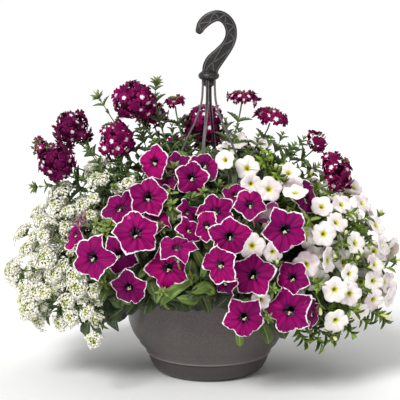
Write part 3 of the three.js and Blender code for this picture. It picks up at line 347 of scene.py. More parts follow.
def lie_at(root, heading, face, long, wide):
    """The matrix for a blade drawn along +Y with its face towards +Z, in units of its size."""
    side = unit(np.cross(heading, face))
    up = np.cross(side, heading)
    matrix = np.eye(4)
    matrix[:3] = np.column_stack([side * wide, heading * long, up * long, root])
    return matrix


def bezier(a, b, c, d, steps):
    t = np.linspace(0, 1, steps)[:, None]
    return a * (1 - t) ** 3 + 3 * b * t * (1 - t) ** 2 + 3 * c * t**2 * (1 - t) + d * t**3


def smooth_line(points, steps):
    """A smooth line through points, of any number of columns."""
    p = np.array(points, dtype=float)
    ends = np.vstack([2 * p[0] - p[1], p, 2 * p[-1] - p[-2]])
    out = []
    for t in np.linspace(0, len(p) - 1, steps):
        i = min(int(t), len(p) - 2)
        s = t - i
        a, b, c, d = ends[i : i + 4]
        square = (2 * a - 5 * b + 4 * c - d) * s**2
        cube = (3 * b - a - 3 * c + d) * s**3
        out.append(0.5 * (2 * b + (c - a) * s + square + cube))
    return np.array(out)


def round_steps(count):
    """Evenly spaced angles of one turn."""
    return 2 * np.pi * np.arange(count) / count


def circle(turn, size, height):
    """Points round the Z axis; the size and the height may change from one to the next."""
    return np.column_stack([size * np.cos(turn), size * np.sin(turn), np.broadcast_to(height, len(turn))])


def there_and_back(count):
    """The pattern coordinate round a ring, from 1 down to 0 and up again."""
    return np.abs(np.arange(count) / count * 2 - 1)


# Shapes: points, triangles, two pattern coordinates for each point and a material number per triangle


class Shape:
    def __init__(self, points, triangles, pattern, slots):
        self.points = points
        self.triangles = triangles
        self.pattern = pattern
        self.slots = slots


def ring_shape(rings, across, along, slots=None):
    """A closed body through rings of points; the first and the last may be single points."""
    points, pattern, triangles, numbers = [], [], [], []
    start = 0
    for i, (ring, share) in enumerate(zip(rings, along)):
        ring = np.atleast_2d(ring)
        a = len(ring)
        points.append(ring)
        pattern.append(np.column_stack([np.array([0.5]) if a == 1 else across, np.full(a, share)]))
        if i + 1 == len(rings):
            break
        b = len(np.atleast_2d(rings[i + 1]))
        there = start + a
        k = np.arange(max(a, b))
        n = (k + 1) % max(a, b)
        if a == 1:
            faces = np.column_stack([np.full(b, start), there + n, there + k])
        elif b == 1:
            faces = np.column_stack([start + k, start + n, np.full(a, there)])
        else:
            one = np.column_stack([start + k, start + n, there + n])
            two = np.column_stack([start + k, there + n, there + k])
            faces = np.vstack([one, two])
        triangles.append(faces)
        numbers.append(np.full(len(faces), slots[i] if slots else 0))
        start = there
    return Shape(np.vstack(points), np.vstack(triangles), np.vstack(pattern), np.concatenate(numbers))


def tube(path, radii, sides):
    path = np.array(path)
    radii = np.broadcast_to(radii, len(path))
    ahead = np.gradient(path, axis=0)
    ahead /= np.linalg.norm(ahead, axis=1)[:, None]
    side = np.cross(ahead[0], vec(0.31, 0.17, 0.94) if abs(ahead[0][2]) < 0.9 else vec(1, 0.2, 0))
    turn = round_steps(sides)
    rings = []
    for p, way, radius in zip(path, ahead, radii):
        side = unit(side - way * (side @ way))
        above = np.cross(way, side)
        rings.append(p + radius * (np.outer(np.cos(turn), side) + np.outer(np.sin(turn), above)))
    body = [path[0] - ahead[0] * radii[0] * TUBE_CAP, *rings, path[-1] + ahead[-1] * radii[-1] * TUBE_CAP]
    return ring_shape(body, there_and_back(sides), np.linspace(0, 1, len(body)))


def blob(radius, tall):
    turn = round_steps(6)
    rings = [circle(turn, radius * share, tall * height) for share, height in ((0.86, -0.5), (0.94, 0.35))]
    return ring_shape([vec(0, 0, -tall), *rings, vec(0, 0, tall)], there_and_back(6), [0, 0.3, 0.7, 1])


class Pile:
    """Shapes put together in one piece."""

    def __init__(self):
        self.parts = []
        self.count = 0

    def add(self, shape, matrix=None, tone=0.5, slot=None):
        points = shape.points
        if matrix is not None:
            points = points @ matrix[:3, :3].T + matrix[:3, 3]
        slots = shape.slots if slot is None else np.full(len(shape.slots), slot)
        tones = np.broadcast_to(np.asarray(tone, dtype=float), len(points))
        self.parts.append((points, shape.triangles + self.count, shape.pattern, slots, tones))
        self.count += len(points)

    def stem(self, path, radii, sides, tone):
        self.add(tube(path, radii, sides), tone=tone, slot=STALK)


def build(name, pile, materials, slot, *replaced):
    points, triangles, pattern, slots, tones = (np.concatenate(group) for group in zip(*pile.parts))
    mesh = bpy.data.meshes.new(name)
    mesh.vertices.add(len(points))
    mesh.vertices.foreach_set("co", (points / 1000).ravel())
    mesh.loops.add(3 * len(triangles))
    mesh.loops.foreach_set("vertex_index", triangles.ravel())
    mesh.polygons.add(len(triangles))
    mesh.polygons.foreach_set("loop_start", np.arange(0, 3 * len(triangles), 3))
    mesh.polygons.foreach_set("material_index", slots)
    mesh.polygons.foreach_set("use_smooth", np.ones(len(triangles), dtype=bool))
    layer = mesh.uv_layers.new(name="form")
    layer.data.foreach_set("uv", pattern[triangles.ravel()].ravel())
    tone = mesh.attributes.new("tone", "FLOAT", "POINT")
    tone.data.foreach_set("value", tones)
    mesh.update(calc_edges=True)
    mesh.validate()
    piece = bpy.data.objects.new(name, mesh)
    for material in materials:
        mesh.materials.append(material)
    scene.collection.objects.link(piece)
    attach(piece, "root")
    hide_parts(*replaced)


# Materials


def rgb(red, green, blue):
    """A colour of the photograph's scale, 0 to 255, for the shader."""
    shares = [level / 255 for level in (red, green, blue)]
    return (*[s / 12.92 if s <= 0.04045 else ((s + 0.055) / 1.055) ** 2.4 for s in shares], 1.0)


class Value:
    """What a node gives out; a sum or product of it is a node of its own."""

    def __init__(self, paint, socket):
        self.paint = paint
        self.socket = socket

    def __add__(self, other):
        return self.paint.math("ADD", self, other)

    def __sub__(self, other):
        return self.paint.math("SUBTRACT", self, other)

    def __rsub__(self, other):
        return self.paint.math("SUBTRACT", other, self)

    def __mul__(self, other):
        return self.paint.math("MULTIPLY", self, other)

    def at_least(self, other):
        return self.paint.math("MAXIMUM", self, other)


class Paint:
    """A material, and short calls that each add a node to it."""

    def __init__(self, name, roughness=0.6, **scalars):
        self.material = bpy.data.materials.new(name)
        self.material.use_nodes = True
        self.tree = self.material.node_tree
        self.surface = self.tree.nodes["Principled BSDF"]
        self.surface.inputs["Roughness"].default_value = roughness
        for socket, value in scalars.items():
            self.surface.inputs[socket.replace("_", " ")].default_value = value

    def put(self, sockets, *values):
        for socket, value in zip(sockets, values):
            if isinstance(value, Value):
                self.tree.links.new(value.socket, socket)
            else:
                socket.default_value = value

    def math(self, operation, *values):
        node = self.tree.nodes.new("ShaderNodeMath")
        node.operation = operation
        self.put(node.inputs, *values)
        return Value(self, node.outputs[0])

    def step(self, value, low, high, start=0.0, end=1.0):
        node = self.tree.nodes.new("ShaderNodeMapRange")
        node.interpolation_type = "SMOOTHSTEP"
        self.put(node.inputs, value, low, high, start, end)
        return Value(self, node.outputs[0])

    def mix(self, share, one, other):
        node = self.tree.nodes.new("ShaderNodeMix")
        node.data_type = "RGBA"
        self.put([node.inputs[i] for i in (0, 6, 7)], share, one, other)
        return Value(self, node.outputs[2])

    def noise(self, scale, detail=2.0, place=None):
        node = self.tree.nodes.new("ShaderNodeTexNoise")
        node.inputs["Scale"].default_value = scale
        node.inputs["Detail"].default_value = detail
        if place is None:
            place = self.tree.nodes.new("ShaderNodeTexCoord").outputs["Object"]
        self.tree.links.new(place, node.inputs["Vector"])
        return Value(self, node.outputs[0])

    def form(self):
        """The two pattern coordinates of the shape."""
        layer = self.tree.nodes.new("ShaderNodeUVMap")
        layer.uv_map = "form"
        parts = self.tree.nodes.new("ShaderNodeSeparateXYZ")
        self.tree.links.new(layer.outputs[0], parts.inputs[0])
        return Value(self, parts.outputs[0]), Value(self, parts.outputs[1])

    def tone(self):
        node = self.tree.nodes.new("ShaderNodeAttribute")
        node.attribute_name = "tone"
        return Value(self, node.outputs["Fac"])

    def lines(self, coordinate, count, width):
        """1 on evenly spaced thin lines across a coordinate, 0 between them."""
        wave = self.math("ABSOLUTE", self.math("SINE", coordinate * (math.pi * count)))
        return self.step(wave, 0.0, width, 1.0, 0.0)

    def streaks(self, across, out, count):
        """Noise drawn out along a petal, different on each flower."""
        place = self.tree.nodes.new("ShaderNodeCombineXYZ")
        self.put(place.inputs, across * count, out * 1.6, self.tone() * 7.0)
        return self.noise(1.0, 3.0, place.outputs[0])

    def bump(self, height, strength, distance):
        node = self.tree.nodes.new("ShaderNodeBump")
        node.inputs["Strength"].default_value = strength
        node.inputs["Distance"].default_value = distance
        self.tree.links.new(height.socket, node.inputs["Height"])
        self.tree.links.new(node.outputs[0], self.surface.inputs["Normal"])

    def colour(self, value):
        self.tree.links.new(value.socket, self.surface.inputs["Base Color"])
        return self.material


def petal_face():
    p = Paint("petunia_petal_face", 0.58, Specular_IOR_Level=0.1)
    across, out = p.form()
    streaks = p.streaks(across, out, 7)
    magenta = p.mix(p.step(streaks, 0.3, 0.7), rgb(118, 0, 78), rgb(194, 5, 119))
    # painted shade: noise patches of darker purple, as where part of a bloom lies in shade
    magenta = p.mix(p.step(p.noise(45), 0.42, 0.62) * 0.35, magenta, rgb(122, 0, 92))
    # painted shade: a higher tone, of a bloom in shade or of a lobe turned from the light, darkens the purple
    magenta = p.mix(p.tone() * 0.85, magenta, rgb(80, 0, 70))
    middle_vein = p.step(across, 0.0, 0.06, 1.0, 0.0)
    fold = p.step(across, 0.93, 1.0)
    side_veins = p.lines(across, 4, 0.26) * 0.22
    veins = middle_vein.at_least(fold).at_least(side_veins) * p.step(out, 0.95, 0.2, 0.15, 1.0)
    magenta = p.mix(veins * 0.5, magenta, rgb(76, 0, 58))
    magenta = p.mix(p.step(out, 0.5, 0.24, 0.0, 0.5), magenta, rgb(84, 0, 66))
    p.bump(streaks * 1.1 - veins, 0.55, 0.0009)
    star = out + across * 0.1 + (streaks - 0.5) * 0.22
    # painted highlight: pale greyish patches on the lit part of the throat's wall
    throat_highlight = p.step(streaks, 0.48, 0.6) * p.step(out, 0.1, 0.15)
    throat = p.mix(throat_highlight * 0.75, rgb(22, 2, 24), rgb(164, 144, 172))
    inner = p.mix(p.step(star, 0.24, 0.33), throat, magenta)
    ragged = out + (p.noise(190, 3) - 0.5) * 0.16 + (p.noise(55) - 0.5) * 0.14
    ragged = ragged + (p.noise(420, 3) - 0.5) * 0.06
    return p.colour(p.mix(p.step(ragged, 0.94, 0.958), inner, rgb(252, 244, 248)))


def petal_back():
    p = Paint("petunia_petal_back", 0.7, Specular_IOR_Level=0.1)
    across, out = p.form()
    stripes = p.step(across, 0.0, 0.16, 1.0, 0.0).at_least(p.lines(across, 3, 0.4) * 0.8)
    skin = p.mix(p.noise(60), rgb(170, 34, 124), rgb(204, 84, 160))
    skin = p.mix(p.step(out, 0.25, 0.62), rgb(212, 204, 202), skin)
    skin = p.mix(stripes * p.step(out, 0.95, 0.45, 0.3, 0.9), skin, rgb(78, 14, 66))
    return p.colour(p.mix(p.step(out, 0.95, 0.97), skin, rgb(246, 234, 242)))


def wilted_petal():
    p = Paint("wilted_petal", 0.75, Specular_IOR_Level=0.1)
    across, out = p.form()
    skin = p.mix(p.step(out, 0.3, 0.8), rgb(188, 180, 132), rgb(150, 112, 124))
    # painted highlight: pale noise patches where the crumpled petals catch the light
    skin = p.mix(p.step(p.noise(150, 3), 0.45, 0.65), skin, rgb(206, 188, 180))
    return p.colour(p.mix(p.lines(across, 7, 0.5) * 0.65, skin, rgb(92, 42, 62)))


def plain_paint(name, low, high, scale, roughness=0.6, **scalars):
    p = Paint(name, roughness, **scalars)
    return p.colour(p.mix(p.noise(scale) * 0.6 + p.tone() * 0.5, low, high))


def leaf_paint(name, dark, light, rib, veins=5):
    p = Paint(name, 0.5, Sheen_Weight=0.05)
    across, out = p.form()
    # painted shade: a low tone darkens a leaf towards the dark colour for leaves in shade, and dims its ribs
    # too; the noise varies it at random
    share = p.tone() * 0.85 + (p.noise(70) - 0.4) * 0.6
    blade = p.mix(share.at_least(0.0), dark, light)
    half = p.math("ABSOLUTE", across - 0.5)
    side = p.lines(out + half * -0.55, veins, 0.22) * p.step(half, 0.5, 0.3)
    middle = p.step(half, 0.0, 0.07, 1.0, 0.0)
    ribs = middle.at_least(side * 0.35) * p.step(p.tone(), -0.2, 0.9, 0.2, 0.75)
    return p.colour(p.mix(ribs, blade, rib))


def bell_face():
    p = Paint("bell_face", 0.6, Specular_IOR_Level=0.12)
    across, out = p.form()
    # painted shade: noise blotches of greyish pink, stronger on bells of higher tone
    skin = p.mix(p.step(p.noise(60), 0.4, 0.62) * p.tone(), rgb(250, 244, 240), rgb(222, 204, 208))
    ribs = p.step(across, 0.0, 0.14, 1.0, 0.0).at_least(p.lines(across, 4, 0.3) * 0.5)
    ribs = ribs * p.step(out, 1.0, 0.25, 0.1, 1.0)
    skin = p.mix(ribs * 0.6, skin, rgb(188, 170, 180))
    p.bump(ribs * -1.0, 0.4, 0.0005)
    glow = p.mix(p.step(out, 0.08, 0.16), rgb(120, 120, 34), rgb(208, 202, 60))
    glow = p.mix(p.step(out, 0.16, 0.34), glow, rgb(236, 234, 168))
    return p.colour(p.mix(p.step(out + across * 0.1, 0.22, 0.46), glow, skin))


def bell_back():
    p = Paint("bell_back", 0.65, Specular_IOR_Level=0.12)
    across, out = p.form()
    skin = p.mix(p.step(out, 0.15, 0.55), rgb(196, 200, 78), rgb(238, 226, 222))
    return p.colour(p.mix(p.lines(across, 2, 0.4) * 0.3, skin, rgb(190, 162, 170)))


def floret_face(name, low, high):
    p = Paint(name, 0.6, Specular_IOR_Level=0.1)
    _, out = p.form()
    wine = p.mix(p.noise(110), low, high)
    wine = p.mix((1.0 - p.tone()) * 0.62, wine, rgb(64, 0, 46))
    # painted shade: each floret darkens towards its middle
    wine = p.mix(p.step(out, 0.4, 0.65, 1.0, 0.0) * 0.6, wine, rgb(56, 0, 34))
    # painted highlight: the tips of each floret turn a lighter pink
    wine = p.mix(p.step(out, 0.7, 0.98, 0.0, 0.28), wine, rgb(200, 44, 140))
    eye = p.mix(p.step(p.tone(), 0.54, 0.6), rgb(104, 6, 66), rgb(252, 244, 246))
    edge = out + (p.noise(500) - 0.5) * 0.3
    return p.colour(p.mix(p.step(edge, 0.32, 0.42), eye, wine))


def alyssum_face():
    p = Paint("alyssum_floret", 0.7, Specular_IOR_Level=0.15)
    _, out = p.form()
    cream = p.mix(p.tone(), rgb(255, 255, 250), rgb(254, 250, 226))
    return p.colour(p.mix(p.step(out, 0.04, 0.3), rgb(214, 214, 128), cream))


def plastic(name, low, high, roughness, grain):
    """Moulded plastic with a fine speckle; a tone above the middle lifts its colour and one below lowers it,
    and on raised ribs, rails and the pot's lip the lift is a painted highlight; the highest tones, on the
    lip, mix in a pale grey as a further painted highlight.
    """
    p = Paint(name, roughness)
    speck = p.step(p.noise(480), 0.34, 0.66)
    p.bump(speck, 0.15, 0.0004)
    lift = (p.tone() - 0.5) * 1.4
    skin = p.mix(p.noise(14) * 0.6 + speck * grain + lift, low, high)
    # painted highlight: the highest tones mix toward a pale grey
    return p.colour(p.mix(p.step(p.tone(), 0.86, 1.0, 0.0, 0.6), skin, rgb(156, 148, 142)))


PETAL = [petal_face(), petal_back(), plain_paint("anthers", rgb(206, 200, 130), rgb(244, 240, 200), 300)]
BELL = [bell_face(), bell_back()]
VERBENA = [
    floret_face("verbena_floret", rgb(92, 0, 60), rgb(172, 4, 106)),
    plain_paint("verbena_floret_back", rgb(54, 0, 32), rgb(104, 6, 62), 200, 0.7, Specular_IOR_Level=0.15),
    plain_paint("verbena_buds", rgb(96, 24, 60), rgb(112, 140, 66), 260),
]
DARK_FLORET = floret_face("verbena_floret_dark", rgb(62, 0, 44), rgb(116, 0, 77))
WINE_FLORET = floret_face("verbena_floret_wine", rgb(90, 0, 48), rgb(156, 4, 82))
ALYSSUM = [alyssum_face(), plain_paint("alyssum_buds", rgb(200, 206, 128), rgb(244, 244, 188), 300)]
PETUNIA_LEAF = leaf_paint("petunia_leaf", rgb(8, 19, 4), rgb(122, 154, 60), rgb(176, 196, 120))
VERBENA_LEAF = leaf_paint("verbena_leaf", rgb(16, 30, 12), rgb(114, 140, 78), rgb(146, 166, 110), 7)
BELL_LEAF = leaf_paint("calibrachoa_leaf", rgb(22, 48, 4), rgb(160, 198, 48), rgb(178, 206, 80), 3)
ALYSSUM_LEAF = leaf_paint("alyssum_leaf", rgb(30, 52, 16), rgb(128, 154, 78), rgb(156, 174, 108), 2)
YOUNG_LEAF = leaf_paint("young_leaf", rgb(52, 86, 22), rgb(158, 182, 84), rgb(184, 200, 116), 3)
WILTED = wilted_petal()
STEM = plain_paint("stem", rgb(58, 82, 34), rgb(126, 152, 76), 60)
POT = plastic("pot_plastic", rgb(64, 57, 56), rgb(92, 83, 81), 0.38, 0.55)
SAUCER = plastic("saucer_plastic", rgb(51, 46, 45), rgb(73, 66, 64), 0.42, 0.5)
HANGER = plastic("hanger_plastic", rgb(22, 20, 20), rgb(120, 115, 113), 0.36, 0.3)
SOIL = plain_paint("potting_mix", rgb(24, 18, 12), rgb(66, 50, 36), 220, 0.95)


# Pot, saucer and soil

# Radius and height along each profile, from the axis out and back to it
POT_LINE = [
    (0, 3.3), (75.5, 3.3), (81.4, 7.5), (86.9, 18), (89.4, 28.3), (93.6, 28.3), (94.9, 28.8), (95.6, 29.9),
    (95.6, 31.2), (97.4, 35), (101.6, 40.8), (104.2, 43.2), (105.4, 44.6), (105.9, 45.8), (106.7, 47.2),
    (108.4, 50), (114.6, 59), (119.3, 70), (121.8, 78.8), (121.7, 79.2), (122, 79.6), (123.4, 119.5),
    (125, 120.5), (125, 135), (124, 136), (111, 136), (111, 133), (121.1, 133), (119.4, 80), (112.2, 60),
    (93, 36.5), (87, 27), (84.4, 18), (78.9, 7.5), (76.5, 5.8), (0, 5.8),
]
SAUCER_LINE = [
    (0, 0), (73, 0), (78.6, 1.9), (84, 6.9), (87.4, 12.4), (90, 18), (91.9, 25.4), (92.5, 26), (92.5, 28),
    (90.3, 28), (87.8, 18), (82.3, 7.5), (76, 3), (0, 3),
]
SOIL_LINE = [
    (0, 6.2), (75.6, 6.2), (83.8, 18), (86.4, 27.3), (92.4, 36.8), (111.6, 60.3), (118.8, 80.2), (120, 119),
    (112, 122), (96, 123.5), (80, 123.2), (64, 124), (48, 123.4), (32, 124), (16, 123.6), (0, 124),
]
SOIL_TOP = 122

# A painted highlight makes the lip just above the saucer lighter: radius from where it starts, heights and
# their tones
LIP_FROM = 93
LIP_HEIGHTS, LIP_HIGHLIGHT_TONES = [28.2, 29.4, 31.4, 35, 41], [0.6, 0.95, 0.93, 0.74, 0.5]


def turned(profile, sides=96):
    turn = round_steps(sides)
    rings = [circle(turn, radius, height) if radius else vec(0, 0, height) for radius, height in profile]
    return ring_shape(rings, there_and_back(sides), np.linspace(0, 1, len(rings)))


def rounded(profile, size=0.6):
    """Cuts each corner of a profile with two points, so that it shades as a small round."""
    out = [profile[0]]
    for before, here, after in zip(profile, profile[1:], profile[2:]):
        here = np.array(here, dtype=float)
        for other in (before, after):
            way = np.array(other, dtype=float) - here
            length = np.linalg.norm(way)
            out.append(tuple(here + way / length * min(size, 0.35 * length)))
    out.append(profile[-1])
    return out


def make_holder():
    """The pot, the saucer under it and the soil inside, each turned from its profile."""
    pot, saucer, soil = Pile(), Pile(), Pile()
    body = turned(rounded(POT_LINE))
    # painted highlight: the tones of the lip lift its colour into a light band
    lip = np.interp(body.points[:, 2], LIP_HEIGHTS, LIP_HIGHLIGHT_TONES)
    pot.add(body, None, np.where(np.hypot(*body.points.T[:2]) > LIP_FROM, lip, 0.5))
    build("pot_body", pot, [POT], "pot_plastic", "pot")
    saucer.add(turned(rounded(SAUCER_LINE)))
    build("saucer_body", saucer, [SAUCER], "saucer_plastic", "saucer")
    body = turned(SOIL_LINE, sides=72)
    top = body.points[:, 2] > SOIL_TOP
    body.points[top, 2] += np.random.default_rng(5).uniform(-1.6, 0.4, top.sum())
    soil.add(body)
    build("potting_soil", soil, [SOIL], "soil", "soil")


make_holder()


# Hanger

# Compass angle of each strand, and radius and height along all of them from the collar to the rim
STRAND_ANGLES = {"front": 257, "right": 347, "back": 77, "left": 167}
STRAND_PATH = [
    (9.2, 449), (9.2, 428), (11.5, 405), (21, 377), (36, 345),
    (70, 257.5), (104, 170), (114, 146), (116, 138), (116, 128),
]
STRAND_WIDE, STRAND_THICK = 4.2, 1.5
RAIL_WIDE, RAIL_THICK, RAIL_SHIFT = 1.0, 2.4, 1.7
BARB_OUT, BARB_HEIGHT, BARB_HALF = 116, 130.7, 4.5

# x, z and width down the hook, and how far its rounded tip goes on, with its share of the width
HOOK_LINE = [
    (-13.5, 514.5, 12), (-9.5, 522, 15.6), (-1, 530, 17), (10.5, 534.8, 16.2), (19.5, 533.4, 15.8),
    (26.5, 528, 16.4), (31.4, 519.5, 17), (33, 510.5, 17), (31.6, 500.5, 17.4), (26.2, 489.6, 18.6),
    (17.6, 479, 21.5), (7.6, 467.6, 25), (3, 459, 24.4), (1.5, 450, 23),
]
HOOK_TIP = [(6.0, 0.5), (3.4, 0.86)]
HOOK_THICK = 9
COLLAR_LINE = [(0, 441), (11.5, 441), (15, 443.6), (16, 447), (14.4, 450.4), (9, 454.4), (0, 455)]
NECK_LINE = [(0, 430.5), (5, 430.5), (7.2, 432.5), (7.2, 442), (0, 442)]

# Where the zigzag rib turns, as share of the way down the hook and side, and how many of the line's last
# steps a second rib crosses
RIB_BENDS = [
    (0, -0.6), (0.06, 1), (0.15, -1), (0.22, 0.9), (0.27, -1), (0.33, 1), (0.39, -1), (0.47, 1),
    (0.53, -1), (0.6, 1), (0.69, -1), (1, 0.9),
]
CROSSED = 22
RIB_WIDE, RIB_THICK, RIB_LIFT, RIB_INSET = 1.5, 1.7, 0.2, 3.2


def strip(path, sides, thick, wide, corner=0.3):
    """A band along a path: sides gives its width's direction at each point, and it has rounded edges."""
    rings = []
    outline = [(-1, -1 + corner), (-1, 1 - corner), (-1 + corner, 1), (1 - corner, 1),
               (1, 1 - corner), (1, -1 + corner), (1 - corner, -1), (-1 + corner, -1)]
    for p, way, side, width in zip(path, np.gradient(path, axis=0), sides, wide):
        way = unit(way)
        side = unit(side - way * (side @ way))
        above = np.cross(way, side)
        cut = min(1.0, width / thick)
        ring = []
        for x, y in outline:
            aside = (width / 2) * (1 - (1 - abs(x)) * thick / width * cut) * np.sign(x)
            ring.append(p + side * aside + above * thick / 2 * y)
        rings.append(np.array(ring))
    body = [path[0], *rings, path[-1]]
    return ring_shape(body, np.linspace(0, 1, len(outline)), np.linspace(0, 1, len(body)))


def even_strip(path, side, thick, wide):
    return strip(path, [side] * len(path), thick, [wide] * len(path))


def make_strands():
    line = smooth_line(STRAND_PATH, 60)
    for name, angle in STRAND_ANGLES.items():
        turn = math.radians(angle)
        out = vec(math.cos(turn), math.sin(turn), 0)
        across = vec(-math.sin(turn), math.cos(turn), 0)
        path = line[:, :1] * out + line[:, 1:] * UP
        pile = Pile()
        pile.add(even_strip(path, across, STRAND_THICK, STRAND_WIDE), tone=0.16)
        # painted highlight: the rails' high tone makes them lighter than the band between them
        for shift in (-RAIL_SHIFT, RAIL_SHIFT):
            pile.add(even_strip(path + across * shift, across, RAIL_THICK, RAIL_WIDE), tone=0.8)
        foot = out * BARB_OUT + UP * BARB_HEIGHT
        barb = np.array([foot - across * BARB_HALF, foot, foot + across * BARB_HALF])
        pile.add(strip(barb, [UP] * 3, RAIL_THICK, [3.0, 4.0, 3.0]), tone=0.4)
        build(f"hanger_strand_{name}", pile, [HANGER], "hanger_plastic", f"strand_{name}")


def make_hook():
    line = smooth_line([(x, 0, z, wide) for x, z, wide in HOOK_LINE], 70)
    path, wide = line[:, :3], line[:, 3]
    ahead = np.gradient(path, axis=0)
    ahead /= np.linalg.norm(ahead, axis=1)[:, None]
    side = np.cross(ahead, BACKWARD)
    band = np.vstack([*(path[0] - ahead[0] * far for far, _ in HOOK_TIP), path])
    band_side = np.vstack([side[0], side[0], side])
    band_wide = [*(wide[0] * share for _, share in HOOK_TIP), *wide]
    pile = Pile()
    pile.add(strip(band, band_side, HOOK_THICK, band_wide, corner=0.34), tone=0.2)
    reach = wide / 2 - RIB_INSET
    sway = np.interp(np.linspace(0, 1, len(path)), *zip(*RIB_BENDS))
    zigzag = side * (reach * sway)[:, None]
    edges = [path + side * (shift * (reach + 0.5))[:, None] for shift in (-1, 1)]
    for face in (-1, 1):
        lift = BACKWARD * face * (HOOK_THICK / 2 + RIB_LIFT)
        # painted highlight: the ribs' tones, above the band's, make them lighter
        ribs = [(edges[0], 0.5), (edges[1], 0.5), (path + zigzag, 0.54), ((path - zigzag)[-CROSSED:], 0.54)]
        for rib, tone in ribs:
            pile.add(even_strip(rib + lift, BACKWARD, RIB_THICK, RIB_WIDE), tone=tone)
    pile.add(turned(rounded(COLLAR_LINE, size=1.2), sides=48), tone=0.26)
    pile.add(turned(NECK_LINE, sides=32), tone=0.2)
    build("hanger_hook", pile, [HANGER], "hanger_plastic", "hook")


make_strands()
make_hook()


# Places that flowers take up, which leaves stay out of: centre, facing, radius and depth before and behind

ROOM = []


def keep_room(centre, facing, radius, ahead=60.0, behind=8.0):
    ROOM.append((*centre, *facing, radius, ahead, behind))


def has_room(points, room, margin=0.0):
    """True if none of the points lies in or before a flower's face."""
    offset = points[:, None, :] - room[None, :, :3]
    depth = (offset * room[None, :, 3:6]).sum(axis=2)
    aside = np.sqrt(np.maximum((offset**2).sum(axis=2) - depth**2, 0))
    inside = (aside < room[:, 6] + margin) & (depth < room[:, 7]) & (depth > -room[:, 8])
    return not inside.any()


def is_near(spot, others, apart):
    return min(np.linalg.norm(spot - other) for other in others) < apart


def tree_of(name):
    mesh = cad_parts[name].data
    points = np.empty(3 * len(mesh.vertices))
    mesh.vertices.foreach_get("co", points)
    tree = kdtree.KDTree(len(mesh.vertices))
    for i, p in enumerate(points.reshape(-1, 3) * 1000):
        tree.insert(p, i)
    tree.balance()
    return tree


def farness(name, points):
    """How far the points are from the nearest vertices of a plant's solid, the worst of them."""
    return max(CAD_TREES[name].find(p)[2] for p in points)


CAD_TREES = {name: tree_of(name) for name in PLANTS}
PILES = {name: Pile() for name in PLANTS}

# Where stalks come out of a core: degrees inside its arc, lowest and highest rise, and share of the core;
# the far side has values of its own
ARC_MARGIN = 8
ROOT_RISES, BACK_ROOT_RISES = (14, 78), (6, 18)
ROOT_DEPTH, BACK_ROOT_DEPTH = 0.8, 0.93


def root_under(name, p, depth=ROOT_DEPTH):
    """Where the stalk of what stands at p comes out of its plant's core."""
    start, end = PLANTS[name]
    middle = math.radians((start + end) / 2)
    half = math.radians((end - start) / 2 - ARC_MARGIN)
    turn = math.atan2(p[1], p[0]) - middle
    turn = math.atan2(math.sin(turn), math.cos(turn))
    on_far_side = name == "petunia_back_plant"
    low, high = BACK_ROOT_RISES if on_far_side else ROOT_RISES
    rise = min(max(rise_of(CORE_DOME, p), math.radians(low)), math.radians(high))
    compass = middle + min(max(turn, -half), half)
    return on_dome(CORE_DOME, compass, rise, BACK_ROOT_DEPTH if on_far_side else depth)


def stalk(name, top, facing, root, leave, arrive, steps, radii, sides=6, tone=0.6):
    """A stem that leaves a flower backwards and comes to its root from outside; returns its line."""
    path = bezier(top, top - facing * leave, root + outward_at(CORE_DOME, root) * arrive, root, steps)
    PILES[name].stem(path, radii, sides, tone)
    return path


def short_stalk(name, top, facing, leave, steps, radius, tone):
    """A thin stem from a leaf or a bud straight into the core."""
    stalk(name, top, facing, root_under(name, top), leave, 0, steps, radius, 5, tone)


# Petunias

PETAL_STEPS = 90
FOUND_WITHIN = 130

# Added blooms of the far side: compass angles, rises, shares of the dome, widths, how many places are
# tried, and the distance between two as a share of the width
BACK_ARC, BACK_RISES, BACK_SHARES, BACK_WIDTHS = (44, 142), (-12, 46), (0.86, 0.97), (46, 60)
BACK_TRIES = 900
BACK_APART = 0.72

# How far a lobe reaches from its middle vein (0) to the notch beside it (1)
POINTED_LOBE = [(0, 1.07), (0.11, 1.01), (0.3, 0.985), (0.55, 0.965), (0.8, 0.905), (0.94, 0.85), (1, 0.82)]
ROUNDED_LOBE = [(0, 1.04), (0.25, 1.015), (0.55, 0.985), (0.8, 0.925), (0.94, 0.865), (1, 0.84)]

# Rings of a bloom. Under the lobes: share of the reach, height and share of the rim's waves; over them:
# share of the reach; in the throat: share of the radius and height
UNDER_RINGS = [(0.32, -4.6, 0.05), (0.5, -2.0, 0.15), (0.7, -0.7, 0.4), (0.86, -0.1, 0.72), (1.0, 0.3, 1.0)]
OVER_RINGS = [1.0, 0.955, 0.9, 0.82, 0.72, 0.6, 0.48, 0.37, 0.28]
THROAT_RINGS = [(0.24, -2.6), (0.19, -4.6), (0.14, -8), (0.09, -13)]


def lobe_swell(seed, k):
    return 0.96 + 0.08 * draw(seed * 7 + k)


def lobe_curl(seed, k):
    return 2.4 * (draw(seed * 11 + k) - 0.6)


def petunia_frame(wide, seed):
    """The CAD bloom's corner points, drawn with its throat at the origin."""
    radius = wide / 2
    plain = [(-36, 0.84, 1.2), (-14, 1.02, 0.8), (14, 1.02, 0.8)]
    pointed = [(-36, 0.84, 1.2), (-19, 0.97, 1.6), (0, 1.04, -0.6), (19, 0.97, 1.6)]
    points = [vec(0, 0, -9), vec(0, 0, -PETUNIA_TUBE)]
    for k in range(5):
        for angle, share, rise in pointed if wide > POINTED_FROM else plain:
            notch = angle == -36
            reach = radius * share * (1 if notch else lobe_swell(seed, k))
            turn = math.radians(72 * k + angle)
            height = rise + (0 if notch else lobe_curl(seed, k))
            points += [vec(reach * math.cos(turn), reach * math.sin(turn), height - low) for low in (0, 0.9)]
    return np.array(points)


